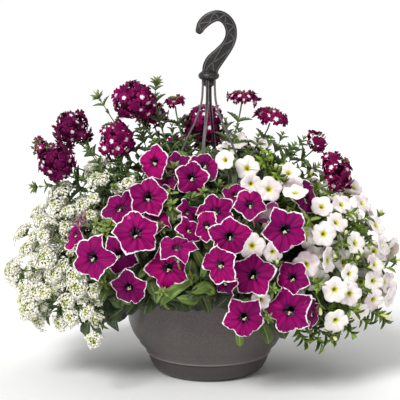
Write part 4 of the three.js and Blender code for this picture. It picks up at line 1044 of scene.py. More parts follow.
def petunia_shape(wide, seed, first_slot=0):
    """A bloom: tube, throat and five uneven lobes with ragged, waved edges and folds between them."""
    radius = wide / 2
    rng = np.random.default_rng(int(seed * 10) + 3)
    angle = np.arange(PETAL_STEPS) * 360 / PETAL_STEPS
    whole = np.round(angle / 72)
    side = (angle - 72 * whole) / 36
    share = np.abs(side)
    lobe = whole.astype(int) % 5
    swell = np.array([lobe_swell(seed, k) for k in range(5)])[lobe]
    curl = np.array([lobe_curl(seed, k) for k in range(5)])[lobe]
    star = rng.uniform(0.5, 1.0)
    straight = 0.76 + 0.31 * (1 - share) ** 1.25
    outline = POINTED_LOBE if wide > POINTED_FROM else ROUNDED_LOBE
    rise = np.interp(share, [0, 0.53, 1], [-0.6, 1.6, 1.2]) if wide > POINTED_FROM else 0.8
    reach = np.interp(share, *zip(*outline)) * (1 - star) + straight * star
    reach *= (1 + rng.uniform(-0.05, 0.05, 5))[lobe] * (1 - share) + share
    turn = np.radians(angle)
    phase = rng.uniform(0, 6.28, 6)
    ragged = 0.009 * np.sin(13 * turn + phase[0]) + 0.006 * np.sin(22 * turn + phase[1])
    ragged += 0.02 * np.sin(3 * turn + phase[5]) + rng.normal(0, 0.006, PETAL_STEPS)
    reach = 0.97 * radius * (reach + ragged) * (1 + (swell - 1) * (1 - share**2))
    edge = rise + (curl + rng.uniform(-0.24, 0.1, 5)[lobe] * radius) * (1 - share**1.5)
    edge += rng.uniform(-0.16, 0.16, 5)[lobe] * radius * side * (1 - share) * 4
    wave = 0.65 * np.sin(6 * turn + phase[2]) + 0.32 * np.sin(11 * turn + phase[3])
    wave += 0.5 * np.sin(3 * turn + phase[4])
    crease = np.exp(-(((1 - share) / 0.2) ** 2)) + 0.6 * np.exp(-((share / 0.14) ** 2))

    def ring(s, height, spread):
        z = height + (edge - 0.8) * spread + 0.11 * radius * wave * spread**2
        flat = reach * s * (1 - 0.05 * spread * np.clip(-edge / radius, 0, 1))
        return circle(turn, flat, z - 0.085 * radius * crease * math.sqrt(s))

    foot = [(1.9, -26.5), (2.5, -22), (3.2, -17.5), (0.15 * radius, -12.5), (0.21 * radius, -8)]
    rings = [vec(0, 0, -PETUNIA_TUBE), *(circle(turn, size, height) for size, height in foot)]
    rings += [ring(*under) for under in UNDER_RINGS]
    along = [0, 0.02, 0.05, 0.1, 0.15, 0.2, *(under[0] for under in UNDER_RINGS)]
    back = len(rings) - 1
    for s in OVER_RINGS:
        rings.append(ring(s, 0.8 - 2.2 * max(0, 1 - s / 0.46), max(0, (s - 0.3) / 0.7) ** 1.15))
    rings += [circle(turn, s * radius, height) for s, height in THROAT_RINGS] + [vec(0, 0, -15)]
    along += [*OVER_RINGS, *(s for s, _ in THROAT_RINGS), 0.02]
    slots = [first_slot + 1] * back + [first_slot] * (len(rings) - 1 - back)
    return ring_shape(rings, share, along, slots)


def petal_tones(shape, seed, base):
    """A tone for each lobe of a bloom, spread at random round the bloom's own, so that some lobes are painted
    darker as painted shade.
    """
    turn = np.degrees(np.arctan2(shape.points[:, 1], shape.points[:, 0]))
    lobe = np.round(turn / 72).astype(int) % 5
    spread = np.random.default_rng(int(seed) + 90).uniform(-0.28, 0.28, 5)
    return np.clip(base + spread, 0, 1)[lobe]


def make_leaf(columns, rows, outline, droop, fold, thick, ruffle=0.0, tooth=0.0):
    """A thin closed blade of length 1 and width 1 along +Y: outline gives half its width along it."""
    shares = np.linspace(0, 1, rows + 2)[1:-1]
    rings = [vec(0, 0, 0)]
    x = np.linspace(-1, 1, columns + 1)
    for j, share in enumerate(shares):
        half = outline(share) * (1 + (tooth if j % 2 else -tooth))
        top = fold * np.abs(x) * half * 2 + ruffle * np.sin(9 * share + 2 * x) * np.abs(x)
        height = -droop * share * share + top + thick / 2 * (1 - np.abs(x) * 0.6)
        upper = np.column_stack([x * half, np.full(len(x), share), height])
        rings.append(np.vstack([upper, upper[-2:0:-1] - vec(0, 0, thick)]))
    rings.append(vec(0, 1, -droop))
    across = np.concatenate([(x + 1) / 2, (x[-2:0:-1] + 1) / 2])
    return ring_shape(rings, across, [0, *shares, 1])


def ovate(share):
    return max(0.06, 0.5 * max(0.0, 1 - abs(2 * (share - 0.55) / 0.98) ** 2.2) ** 0.6)


def pointed(share):
    return 0.5 * math.sin(math.pi * min(1, 0.06 + 0.94 * share**0.8)) ** 0.75


def slim(share):
    return 0.5 * math.sin(math.pi * (0.05 + 0.92 * share)) ** 0.6


LEAF_PETUNIA = make_leaf(4, 7, ovate, droop=LEAF_DROOP, fold=0.16, thick=0.02, ruffle=0.015)
LEAF_INNER = make_leaf(2, 3, ovate, droop=LEAF_DROOP, fold=0.16, thick=0.02)
LEAF_VERBENA = make_leaf(4, 10, pointed, droop=0.2, fold=0.2, thick=0.02, tooth=0.2)
LEAF_SMALL = make_leaf(2, 3, slim, droop=0.22, fold=0.16, thick=0.05)


def sepals(pile, at, facing, seed):
    """The green star of a calyx round the foot of a flower's tube."""
    for k in range(5):
        side = stand_at(at, facing, 72 * k + 40 * draw(seed))[:3, 0]
        heading = unit(facing + side * 0.45)
        pile.add(LEAF_SMALL, lie_at(at + side * 1.2, heading, -side + facing * 0.2, 13, 3.6), 0.6, STALK)


def grow_petunia(name, plant, at_guess, facing, wide, turn, in_shade=False):
    """Finds a bloom of the solids by its box and draws it there in full."""
    seed = turn + wide
    placed = petunia_frame(wide, seed) @ stand_at(vec(0, 0, 0), facing, turn)[:3, :3].T
    low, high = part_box(name)
    at = (np.array(low) + np.array(high)) * 500 - (placed.min(axis=0) + placed.max(axis=0)) / 2
    if np.linalg.norm(at - at_guess) > FOUND_WITHIN:
        raise ValueError(f"{name} is not where it is drawn")
    pile = Pile()
    add_bloom(pile, at, facing, wide, turn, seed, 0, in_shade)
    build(f"bloom_{name}", pile, PETAL, "petunia_bloom", name)
    join_bloom(plant, at, facing, wide, seed)


def add_bloom(pile, at, facing, wide, turn, seed, first_slot, in_shade=False):
    """A petunia with a cluster of anthers low in its throat."""
    shape = petunia_shape(wide, seed, first_slot)
    # painted shade: a bloom in shade starts from a higher tone, which darkens its purple
    base = 0.5 * draw(seed + at[0]) + (0.45 if in_shade else 0.05)
    pile.add(shape, stand_at(at, facing, turn), petal_tones(shape, seed, base))
    rng = np.random.default_rng(int(seed) + 50)
    down = unit(facing * facing[2] - UP)
    heart = at + down * 0.05 * wide - facing * 3.4
    for _ in range(6):
        pile.add(blob(1.25, 1.7), stand_at(heart + rng.normal(0, 1.1, 3), facing), 0.8, first_slot + 2)


def join_bloom(plant, at, facing, wide, seed):
    """The calyx and stalk of a bloom, and the room that it keeps."""
    keep_room(at, facing, wide / 2 + 3)
    cup = at - facing * (PETUNIA_TUBE + GAP)
    sepals(PILES[plant], cup + facing * 1.0, facing, seed)
    stalk(plant, cup, facing, root_under(plant, cup - facing * 10), leave=26, arrive=18, steps=9, radii=1.4)


for number, (u, v, right, up, wide, turn) in enumerate(PETUNIAS, 1):
    spot, in_shade = seen_on_dome(u, v), number in SHADED_PETUNIAS
    grow_petunia(f"petunia_{number:02d}", "petunia_plant", spot, facing_of(right, up), wide, turn, in_shade)
for number, (compass, rise, wide, turn) in enumerate(BACK_PETUNIAS, 1):
    spot = on_dome(FLOWER_DOME, math.radians(compass), math.radians(rise))
    facing = outward_at(FLOWER_DOME, spot)
    grow_petunia(f"petunia_back_{number}", "petunia_back_plant", spot, facing, wide, turn)


def fill_back_petunias():
    """More blooms on the far side, between and under the ones of the solids."""
    rng = np.random.default_rng(21)
    placed = [on_dome(FLOWER_DOME, math.radians(c), math.radians(r)) for c, r, _, _ in BACK_PETUNIAS]
    wanted = len(placed) + BACK_EXTRA
    for _ in range(BACK_TRIES):
        if len(placed) == wanted:
            break
        compass, rise = math.radians(rng.uniform(*BACK_ARC)), math.radians(rng.uniform(*BACK_RISES))
        spot = on_dome(FLOWER_DOME, compass, rise, rng.uniform(*BACK_SHARES))
        wide = rng.uniform(*BACK_WIDTHS)
        facing = unit(outward_at(FLOWER_DOME, spot) + rng.normal(0, 0.25, 3))
        crowded = is_near(spot, placed, BACK_APART * wide)
        if crowded or not (REACH_LOW + wide / 2 < spot).all() or not (spot < REACH_HIGH - 18).all():
            continue
        placed.append(spot)
        seed = len(placed) * 13 + 5
        add_bloom(PILES["petunia_back_plant"], spot, facing, wide, seed, seed, FACE)
        join_bloom("petunia_back_plant", spot, facing, wide, seed)


fill_back_petunias()
PETUNIA_ROOMS = np.array(ROOM)


# Verbena


def star_shape(steps, outline, radius, tube_long, cup, thick=0.35):
    """A small flat flower with a tube behind it; outline is the reach of each step of a lobe."""
    turn = round_steps(steps)
    reach = np.resize(outline, steps) * radius
    across = np.resize(np.abs(np.linspace(-1, 1, len(outline) + 1)[:-1]), steps)
    neck = circle(turn, 0.16 * radius, -0.25 * tube_long)
    rims = [circle(turn, reach, height) for height in (-thick, 0)]
    rings = [vec(0, 0, -tube_long), neck, *rims, vec(0, 0, -cup)]
    return ring_shape(rings, across, [0, 0.1, 0.9, 1, 0], [1, 1, 0, 0])


FLORET = star_shape(30, [0.44, 0.9, 1.0, 0.84, 1.0, 0.9], radius=10.2, tube_long=8, cup=1.0)
BUD = blob(1.5, 3.2)

# Heads with darker and redder florets than the others, with more white eyes, and long ones that lean left
DARK_HEADS, WINE_HEADS = (3, 4), (6, 8, 9, 10, 11)
EYED_HEADS = (5, 7)
LOOSE_HEADS = (10, 11)
LOOSE_WIDE, LOOSE_TALL, LOOSE_LEAN = 0.8, 1.12, -0.26
FLAT_BELOW = 0.7
VERBENA_ROOT = 0.86

# Pairs of leaves on a head's stem: share of the way down and length
VERBENA_PAIRS = [(0.24, 24), (0.5, 34), (0.75, 40)]


def fibonacci(count, lowest=-1.0):
    """Evenly spread directions from straight up down to the given height."""
    k = np.arange(count) + 0.5
    z = 1 - (1 - lowest) * k / count
    return circle(FLORET_SPIN * k, np.sqrt(1 - z * z), z)


def verbena_head(pile, at, facing, turn, radius, flat, seed, first_slot=0, loose=False, eyed=False):
    """Overlapping florets on a ball or a flat cap, with a darker heart of tubes and buds."""
    rng = np.random.default_rng(seed)
    matrix = stand_at(at, facing, turn)
    cap = flat < FLAT_BELOW
    lowest = -0.1 if cap else -0.85
    spacing = 190 if cap else 240
    count = int(2 * math.pi * radius**2 * (1 - lowest) / spacing)
    heart = radius * (0.34 if loose else 0.7)
    pile.add(blob(heart, heart * (0.3 if cap else 1)), matrix, 0.1, first_slot + 1)
    shape = Shape(FLORET.points, FLORET.triangles, FLORET.pattern, FLORET.slots + first_slot)
    bulge = rng.normal(0, 1, 3)
    for way in fibonacci(count, lowest):
        if cap and way[2] > 0.82:
            continue
        way = unit(way + rng.normal(0, 0.1, 3))
        reach = radius * min(1.04 - 0.14 * way[2] ** 4, rng.uniform(0.78, 1.04) + 0.06 * (way @ bulge))
        offset = matrix[:3, :3] @ (way * reach * vec(1, 1, flat))
        if loose:
            across = LOOSE_WIDE * offset[0] + LOOSE_LEAN * offset[2]
            offset = vec(across, offset[1], LOOSE_TALL * offset[2])
        out = matrix[:3, :3] @ unit(way / vec(1, 1, flat) + rng.normal(0, 0.32, 3))
        stand = stand_at(at + offset, unit(out), rng.uniform(0, 72))
        stand[:3, :3] *= rng.uniform(0.8, 1.14) * (0.82 if radius < 25 else 1)
        pile.add(shape, stand, rng.uniform(0.35 if loose or cap or eyed else 0, 1))
    for way in fibonacci(14 if cap else 6, 0.72 if cap else 0.93):
        spot = matrix[:3, :3] @ (way * radius * 0.9 * vec(1, 1, flat)) + at
        pile.add(BUD, stand_at(spot, unit(matrix[:3, :3] @ way)), rng.uniform(0, 1), first_slot + 2)


def leaf_pair(spot, along, spin, lean, long, slender, tones):
    """Two opposite toothed leaves on a verbena stem."""
    across = stand_at(spot, along, spin)[:3, 0]
    for way, tone in zip((-1, 1), tones):
        heading = unit(across * way + along * lean)
        matrix = lie_at(spot, heading, along, long, long * slender)
        PILES["verbena_plant"].add(LEAF_VERBENA, matrix, tone, GREEN)


def verbena_stem(at, facing, radius, flat, seed):
    """The stem under a head, with pairs of leaves down it."""
    foot = at - facing * (radius * VERBENA_CORE * flat * 0.795 + GAP)
    root = root_under("verbena_plant", at, VERBENA_ROOT)
    radii = np.linspace(1.15, 1.7, 14)
    path = stalk("verbena_plant", foot, facing, root, leave=34, arrive=46, steps=14, radii=radii, tone=0.35)
    for share, long in VERBENA_PAIRS:
        i = int(share * 13)
        along = unit(path[i - 1] - path[i + 1])
        spin = 360 * draw(seed + share * 10)
        tones = draw(seed - 1), draw(seed + 1)
        leaf_pair(path[i], along, spin, lean=0.75, long=long, slender=0.34, tones=tones)


for number, (u, v, back, radius, flat) in enumerate(VERBENA_HEADS, 1):
    spot = seen_at_depth(u, v, back)
    facing = unit(unit(spot - root_under("verbena_plant", spot, VERBENA_ROOT)) + vec(0, 0, 1.2))
    pile = Pile()
    loose, eyed = number in LOOSE_HEADS, number in EYED_HEADS
    turn, seed = 31 * (number - 1), 299 + number
    verbena_head(pile, spot, facing, turn, radius, flat, seed, loose=loose, eyed=eyed)
    node = f"verbena_head_{number:02d}"
    paint = DARK_FLORET if number in DARK_HEADS else WINE_FLORET if number in WINE_HEADS else VERBENA[0]
    build(f"bloom_{node}", pile, [paint, *VERBENA[1:]], "verbena_head", node)
    keep_room(spot, facing, radius + 2, radius + 2, radius)
    verbena_stem(spot, facing, radius, flat, (number - 1) * 7)

for compass, rise, radius in BACK_VERBENA:
    spot = on_dome(FLOWER_DOME, math.radians(compass), math.radians(rise), 1.12)
    facing = outward_at(FLOWER_DOME, spot)
    verbena_head(PILES["verbena_plant"], spot, facing, compass, radius, 1, compass, first_slot=FACE)
    keep_room(spot, facing, radius + 2, radius + 2, radius)
    verbena_stem(spot, facing, radius, 1, compass)


def side_head():
    """Opening buds and a few florets, on a short stalk of their own."""
    u, v, back, radius = SIDE_HEAD
    spot = seen_at_depth(u, v, back)
    facing = unit(vec(-0.7, -0.3, 0.8))
    pile = PILES["verbena_plant"]
    verbena_head(pile, spot, facing, 20, radius, 1, seed=77, first_slot=FACE, loose=True)
    for way in fibonacci(26, -0.2):
        offset = stand_at(spot, facing)[:3, :3] @ (way * radius * vec(0.9, 0.9, 1.25))
        pile.add(BUD, stand_at(spot + offset, unit(offset)), 0.5 + 0.5 * abs(way[0]), FACE + 2)
    verbena_stem(spot, facing, radius, 1, 43)


side_head()


# Million bells

BELL_STEPS = 30

# Degrees that a bell is turned for each millimetre of its width
BELL_TURN = 7

# The CAD lifts a bell outwards in steps until it is clear
LIFT_STEP, LIFTS = 4, 8


def bell_shape(wide, seed):
    """A small trumpet with five round lobes and a fold between them."""
    radius = wide / 2
    rng = np.random.default_rng(seed)
    angle = np.arange(BELL_STEPS) * 360 / BELL_STEPS
    lobe = np.round((angle - 36) / 72)
    share = np.abs(angle - 36 - 72 * lobe) / 36
    turn = np.radians(angle)
    reach = radius * (0.85 + 0.17 * (1 - share**2.4) + 0.02 * np.sin(11 * turn + rng.uniform(0, 6)))
    wave = 0.6 * np.sin(3 * turn + rng.uniform(0, 6)) + 0.5 * np.sin(7 * turn + rng.uniform(0, 6))
    crease = np.exp(-(((1 - share) / 0.24) ** 2)) + 0.4 * np.exp(-((share / 0.2) ** 2))

    def ring(s, height):
        return circle(turn, reach * s, height + (0.1 * wave * s - 0.09 * crease) * radius * s)

    foot = [(1.5, -BELL_NECK + 0.5), (2.4, -8.5), (0.26 * radius, -4.6)]
    lobed = [(0.55, -1.7), (1, 0), (1, 0.45), (0.86, 0.75), (0.66, 0.5), (0.45, -0.2)]
    throat = [(0.25 * radius, -1.6), (0.13 * radius, -4.4)]
    rings = [circle(turn, *size) for size in foot] + [ring(*size) for size in lobed]
    rings += [circle(turn, *size) for size in throat]
    along = [0, 0.02, 0.1, 0.25, 0.55, 1, 1, 0.86, 0.66, 0.45, 0.25, 0.13, 0]
    return ring_shape([vec(0, 0, -BELL_NECK), *rings, vec(0, 0, -7)], share, along, [BACK] * 5 + [FACE] * 7)


def find_bell(at, facing, wide):
    """Where the solid has a bell: of the lifts it may have had, the one whose rim lies at vertices."""
    rim = circle(np.radians([36, 108, 180]), wide / 2, 0)
    turned_rim = rim @ stand_at(at, facing, wide * BELL_TURN)[:3, :3].T
    spots = [at + outward_at(FLOWER_DOME, at) * LIFT_STEP * step for step in range(LIFTS)]
    return min(spots, key=lambda spot: farness("calibrachoa_plant", turned_rim + spot))


def place_bell(at, facing, wide, seed):
    plant = "calibrachoa_plant"
    PILES[plant].add(bell_shape(wide, seed), stand_at(at, facing, wide * BELL_TURN), draw(seed))
    neck = at - facing * BELL_NECK
    sepals(PILES[plant], neck - facing * 1.5, facing, seed)
    root = root_under(plant, neck)
    stalk(plant, neck, facing, root, leave=22, arrive=24, steps=8, radii=0.95, sides=4, tone=0.7)
    keep_room(at, facing, wide / 2 + 2, ahead=40, behind=5)


for number, (u, v, right, up, wide, behind) in enumerate(BELLS):
    facing = facing_of(right, up)
    spot = seen_on_dome(u, v) + sight_line(u, v) * behind
    place_bell(find_bell(spot, facing, wide), facing, wide, 700 + number)
for number in range(BACK_BELLS):
    compass = math.radians(8 + 34 * draw(number + 3))
    spot = on_dome(FLOWER_DOME, compass, math.radians(4 + 52 * (number + 0.5) / BACK_BELLS))
    facing = outward_at(FLOWER_DOME, spot)
    place_bell(find_bell(spot, facing, BACK_BELL_WIDE), facing, BACK_BELL_WIDE, 760 + number)


# Alyssum

# The smallest flower: two faces that meet in a notched rim
SPECK_RIM = circle(round_steps(8), np.resize([0.42, 1.0], 8) * 3.9, 0)
SPECK = ring_shape([vec(0, 0, -1.6), SPECK_RIM, vec(0, 0, 0.4)], np.zeros(8), [0.5, 1, 0], [FACE, FACE])

# How high on a head the flowers give way to green buds
BUDDING = 0.86


def alyssum_head(at, facing, turn, radius, seed, flat=0.62):
    """A lumpy cap of tiny flowers over a pale green heart."""
    pile = PILES["alyssum_plant"]
    rng = np.random.default_rng(seed)
    matrix = stand_at(at, facing, turn)
    pile.add(blob(radius * 0.62, radius * 0.44), matrix, 0.6, GREEN)
    phase = rng.uniform(0, 6.28, 2)
    for way in fibonacci(int(14 + radius**2 * 0.24), -0.2):
        spin = math.atan2(way[1], way[0])
        lump = 1 + (0.2 * math.sin(3 * spin + phase[0]) + 0.12 * math.sin(5 * spin + phase[1])) * (1 - way[2])
        spot = matrix[:3, :3] @ (way * radius * lump * rng.uniform(0.76, 1.1) * vec(1, 1, flat)) + at
        out = unit(matrix[:3, :3] @ (way + vec(0, 0, 0.5) + rng.normal(0, 0.35, 3)))
        stand = stand_at(spot, out, rng.uniform(0, 90))
        budding = way[2] > BUDDING
        stand[:3, :3] *= rng.uniform(0.85, 1.2) * (0.8 if budding else 1)
        pile.add(SPECK, stand, rng.uniform(0, 1), BACK if budding else None)


def alyssum_sprig(at, facing, turn, radius, seed):
    alyssum_head(at, facing, turn, radius, seed)
    root = root_under("alyssum_plant", at, 0.84)
    path = stalk("alyssum_plant", at, facing, root, leave=24, arrive=40, steps=9, radii=0.9, sides=4)
    leafy_stem("alyssum_plant", path[:5], seed, long=18, wide=4.2, count=4, lean=0.9)
    keep_room(at, facing, radius * 0.9, ahead=20, behind=6)


def leafy_stem(name, path, seed, long, wide, count, lean):
    """Small leaves up a stem, turned round it from one to the next."""
    for k in range(count):
        t = (k + 0.5) / count * (len(path) - 1)
        i = min(int(t), len(path) - 2)
        spot = path[i] + (path[i + 1] - path[i]) * (t - i)
        along = unit(path[i] - path[i + 1])
        across = stand_at(spot, along, LEAF_SPIN * k + 360 * draw(seed))[:3, 0]
        size = 0.8 + 0.4 * draw(seed + k)
        matrix = lie_at(spot, unit(across + along * lean), along, long * size, wide * size)
        PILES[name].add(LEAF_SMALL, matrix, draw(seed + 3 * k), GREEN)


def find_alyssum(number):
    """Where the solid has a head: of the lifts it may have had, the one whose top lies at a vertex."""
    start, end = PLANTS["alyssum_plant"]
    share = (number * GOLDEN + 0.21) % 1
    compass = math.radians(start + 2 + (end - start - 4) * share)
    rise = math.radians(-14 + 72 * ((number + 0.5) / ALYSSUM_HEADS))
    radius = ALYSSUM_RADIUS * (0.8 + 0.4 * draw(number + 71))
    spots = [on_dome(FLOWER_DOME, compass, rise, 1.02 + 0.03 * lift) for lift in range(6)]
    places = [(spot, unit(outward_at(FLOWER_DOME, spot) + vec(0, 0, 0.35))) for spot in spots]
    best = min(places, key=lambda place: farness("alyssum_plant", [place[0] + place[1] * radius * 0.9 * 0.7]))
    return *best, 50 * number, radius


ALYSSUM_FOUND = [find_alyssum(number) for number in range(ALYSSUM_HEADS)]
for number, place in enumerate(ALYSSUM_FOUND):
    alyssum_sprig(*place, 900 + number)


# Leaves where the CAD has them

LEAF_TRIES = 8


def leaf_line(root, heading, face, long, shares):
    """Points along the middle of a drooping leaf."""
    across = unit(np.cross(heading, face))
    up = unit(np.cross(across, heading))
    share = np.array(shares, dtype=float)[:, None]
    return root + heading * long * share - up * LEAF_DROOP * long * share**2


def cad_leaves(name):
    """Root, heading and face of each leaf that the CAD found room for."""
    seed, count, long, _, lowest, highest = LEAVES[name]
    start, end = PLANTS[name]
    low, high = math.sin(math.radians(lowest)), math.sin(math.radians(highest))
    found = []
    for i in range(count):
        share = (i * GOLDEN + draw(seed)) % 1
        compass = math.radians(start + 3 + (end - start - 6) * share)
        rise = math.asin(low + (high - low) * ((i + 0.5) / count))
        root = on_dome(CORE_DOME, compass, rise, LEAF_ROOT)
        out = outward_at(CORE_DOME, root)
        side = unit(np.cross(out, UP))
        over = np.cross(side, out)
        for attempt in range(LEAF_TRIES):
            spin = math.radians(360 * draw(seed + i * 17 + attempt * 5))
            way = side * math.cos(spin) + over * math.sin(spin)
            heading = unit(out + way * (0.75 + 0.35 * draw(seed + i * 29 + attempt)))
            if farness(name, leaf_line(root, heading, out, long, [1])) < 0.2:
                found.append((root, heading, out))
                break
    return found


for name, (seed, count, long, wide, _, _) in LEAVES.items():
    pile = PILES[name]
    for number, (root, heading, face) in enumerate(cad_leaves(name)):
        if name in ("petunia_plant", "petunia_back_plant"):
            tone = 0.65 * draw(seed + number) ** 1.8
            pile.add(LEAF_PETUNIA, lie_at(root, heading, face, long, wide), tone, GREEN)
        elif name == "verbena_plant":
            pile.add(LEAF_VERBENA, lie_at(root, heading, face, long, wide), 0.6 * draw(seed + number), GREEN)
        else:
            path = leaf_line(root, heading, face, long, np.linspace(1, 0, 7))
            pile.stem(path, radii=0.9, sides=5, tone=0.6)
            leaf_wide = 5.5 if name == "calibrachoa_plant" else 3.8
            leafy_stem(name, path, seed + number, long=20, wide=leaf_wide, count=12, lean=0.8)

for number, (u, v, right) in enumerate(FRINGE_LEAVES):
    tip = seen_at_depth(u, v, FRINGE_DEPTH)
    root = root_under("petunia_plant", vec(tip[0], tip[1], 150), LEAF_ROOT)
    heading = tip - root
    heading[2] += LEAF_DROOP * np.linalg.norm(heading)
    matrix = lie_at(root, unit(heading), facing_of(right, 20), np.linalg.norm(heading), FRINGE_WIDE)
    # painted shade: a low tone makes these leaves dark
    PILES["petunia_plant"].add(LEAF_PETUNIA, matrix, 0.16 * draw(number + 9), GREEN)


# Leaves, buds and heads that fill the plants, which the solids have no room for

ROOMS = np.array(ROOM)
rng = np.random.default_rng(11)

# Added heads and bells: compass angles, rises, shares of the dome, sizes and the distance between two
ALYSSUM_ARC, ALYSSUM_RISES, ALYSSUM_SHARES = (128, 226), (-18, 54), (0.82, 1.03)
ALYSSUM_SIZES, ALYSSUM_APART = (9.5, 14), 15
BELL_ARC, BELL_RISES, BELL_SHARES = (-58, 62), (-10, 62), (0.84, 0.99)
BELL_WIDTHS, BELLS_APART = (34, 43), 20


def is_allowed(points):
    """True within the reach of the additions and off the bare front of the pot."""
    if (points < REACH_LOW).any() or (points > REACH_HIGH).any():
        return False
    u, v = in_view(points)
    before_pot = (u > POT_LEFT) & (u < POT_RIGHT) & (v > POT_TOP) & (points[:, 1] < POT_FRONT)
    return not before_pot.any()


def plant_of(compass, rise):
    """The plant of a direction; the far side has petunias low down and verbena above them."""
    first = PLANTS["calibrachoa_plant"][0]
    degrees = (math.degrees(compass) - first) % 360 + first
    name = next(name for name, (start, end) in PLANTS.items() if start <= degrees < end)
    low = name == "verbena_plant" and rise < math.radians(24)
    return "petunia_back_plant" if low else name


def random_rise(low, high):
    return math.asin(rng.uniform(math.sin(math.radians(low)), math.sin(math.radians(high))))


def scatter(count, low, high, dome_share):
    """Random places and directions over the whole dome, with the plant that each belongs to."""
    for _ in range(count):
        compass = rng.uniform(0, 2 * math.pi)
        rise = random_rise(low, high)
        share = rng.uniform(*dome_share)
        core = on_dome(CORE_DOME, compass, rise)
        flower = on_dome(FLOWER_DOME, compass, rise)
        yield plant_of(compass, rise), core + (flower - core) * share, outward_at(FLOWER_DOME, flower)


def any_heading(out, lean):
    way = rng.normal(0, 1, 3)
    return unit(out * lean + unit(way - out * (way @ out)) + vec(0, 0, 0.25))


def free_line(spot, heading, out, long):
    """Points along a leaf or sprig if nothing stands in its way, or None."""
    points = leaf_line(spot, heading, out, long, [0.35, 0.7, 1.0])
    return points if is_allowed(points) and has_room(points, ROOMS) else None


def add_blade(name, blade, spot, heading, out, long, wide, tone):
    points = free_line(spot, heading, out, long)
    if points is None:
        return
    u, v = in_view(points)
    if blade is not LEAF_PETUNIA or not ((u < BROAD_LEAF_LEFT) & (v > POT_TOP)).any():
        PILES[name].add(blade, lie_at(spot, heading, out, long, wide), tone, GREEN)


def fill_inner():
    """Broad leaves close to the middle, painted dark as painted shade, which shut off the view through the
    plants.
    """
    for name, spot, out in scatter(count=900, low=-16, high=88, dome_share=(-0.35, 0.12)):
        heading = any_heading(out, lean=0.25)
        add_blade(name, LEAF_INNER, spot, heading, out, long=46, wide=28, tone=0.12 * rng.uniform(0, 1))
    for name, spot, out in scatter(count=900, low=-14, high=50, dome_share=(0.15, 0.62)):
        if name in ("alyssum_plant", "calibrachoa_plant"):
            tone = rng.uniform(0.1, 0.5)
            heading = any_heading(out, lean=0.25)
            add_blade(name, LEAF_INNER, spot, heading, out, long=34, wide=18, tone=tone)


def fill_outer():
    """Leaves between the flowers, out to just under them."""
    for name, spot, out in scatter(count=1500, low=-12, high=86, dome_share=(0.1, 0.72)):
        heading = any_heading(out, lean=0.9)
        tone = rng.uniform(0.1, 1) ** 1.3
        if name in ("petunia_plant", "petunia_back_plant"):
            long = rng.uniform(26, 42)
            add_blade(name, LEAF_PETUNIA, spot, heading, out, long, long * 0.42, 0.75 * tone**2)
        elif name == "verbena_plant":
            long = rng.uniform(22, 36)
            add_blade(name, LEAF_VERBENA, spot, heading, out, long, long * 0.34, 0.7 * tone)
        elif name == "calibrachoa_plant" or rng.uniform() < 0.4:
            sprig(name, spot, heading, out)


def sprig(name, spot, heading, out):
    points = free_line(spot, heading, out, rng.uniform(28, 46))
    if points is None:
        return
    path = smooth_line([points[2], points[1], points[0], spot], 6)
    PILES[name].stem(path, radii=0.8, sides=4, tone=0.5)
    long, wide = (16, 5.4) if name == "calibrachoa_plant" else (17, 3.6)
    leafy_stem(name, path, rng.uniform(0, 900), long, wide, count=9, lean=0.8)


def fill_alyssum():
    """More heads between the ones that the solids have, at the surface of the dome."""
    placed = [place[0] for place in ALYSSUM_FOUND]
    lean = vec(0, -0.3, 0.35)
    for u, v, radius in RIM_ALYSSUM:
        spot = seen_on_dome(u, v)
        placed.append(spot)
        alyssum_sprig(spot, unit(outward_at(FLOWER_DOME, spot) + lean), u, radius, 1900 + u)
    wanted = len(placed) + MORE_ALYSSUM
    while len(placed) < wanted:
        compass, rise = math.radians(rng.uniform(*ALYSSUM_ARC)), random_rise(*ALYSSUM_RISES)
        spot = on_dome(FLOWER_DOME, compass, rise, rng.uniform(*ALYSSUM_SHARES))
        radius = rng.uniform(*ALYSSUM_SIZES)
        facing = unit(outward_at(FLOWER_DOME, spot) + lean)
        u, v = in_view(spot)
        among_others = (u[0] > 72 and v[0] < 190) or (u[0] > 100 and v[0] > 225)
        ends = np.array([spot, spot + facing * radius])
        if among_others or is_near(spot, placed, ALYSSUM_APART) or not is_allowed(ends):
            continue
        if has_room(ends, ROOMS, 0.5 * radius):
            placed.append(spot)
            seed = 2000 + MORE_ALYSSUM + len(placed) - wanted
            alyssum_sprig(spot, facing, rng.uniform(0, 360), radius, seed)


def tufts():
    """Leafy tips without flowers among the million bells."""
    for number, (u, v) in enumerate(TUFTS):
        spot = seen_on_dome(u, v)
        facing = unit(outward_at(FLOWER_DOME, spot) + vec(0.1, -0.4, 0.3))
        root = root_under("calibrachoa_plant", spot)
        path = bezier(spot + facing * 5, spot - facing * 16, root, root, 10)
        PILES["calibrachoa_plant"].stem(path, radii=0.8, sides=4, tone=0.5)
        leafy_stem("calibrachoa_plant", path[:4], 60 + number, long=17, wide=5, count=9, lean=0.9)


def fill_bells():
    """More million bells, half hidden under the ones of the solids."""
    placed = [seen_on_dome(u, v) for u, v in TUFTS]
    wanted = len(placed) + MORE_BELLS
    while len(placed) < wanted:
        compass, rise = math.radians(rng.uniform(*BELL_ARC)), random_rise(*BELL_RISES)
        spot = on_dome(FLOWER_DOME, compass, rise, rng.uniform(*BELL_SHARES))
        facing = unit(outward_at(FLOWER_DOME, spot) + rng.normal(0, 0.42, 3) + vec(0, -0.2, 0.1))
        wide = rng.uniform(*BELL_WIDTHS)
        u, v = in_view(spot)
        among_others = u[0] < 225 or (v[0] < 170 and u[0] > 300)
        ends = np.array([spot, spot + facing * 4])
        if among_others or is_near(spot, placed, BELLS_APART) or not is_allowed(ends):
            continue
        if has_room(ends, PETUNIA_ROOMS, 0.4 * wide):
            placed.append(spot)
            place_bell(spot, facing, wide, 3000 + MORE_BELLS + len(placed) - wanted)


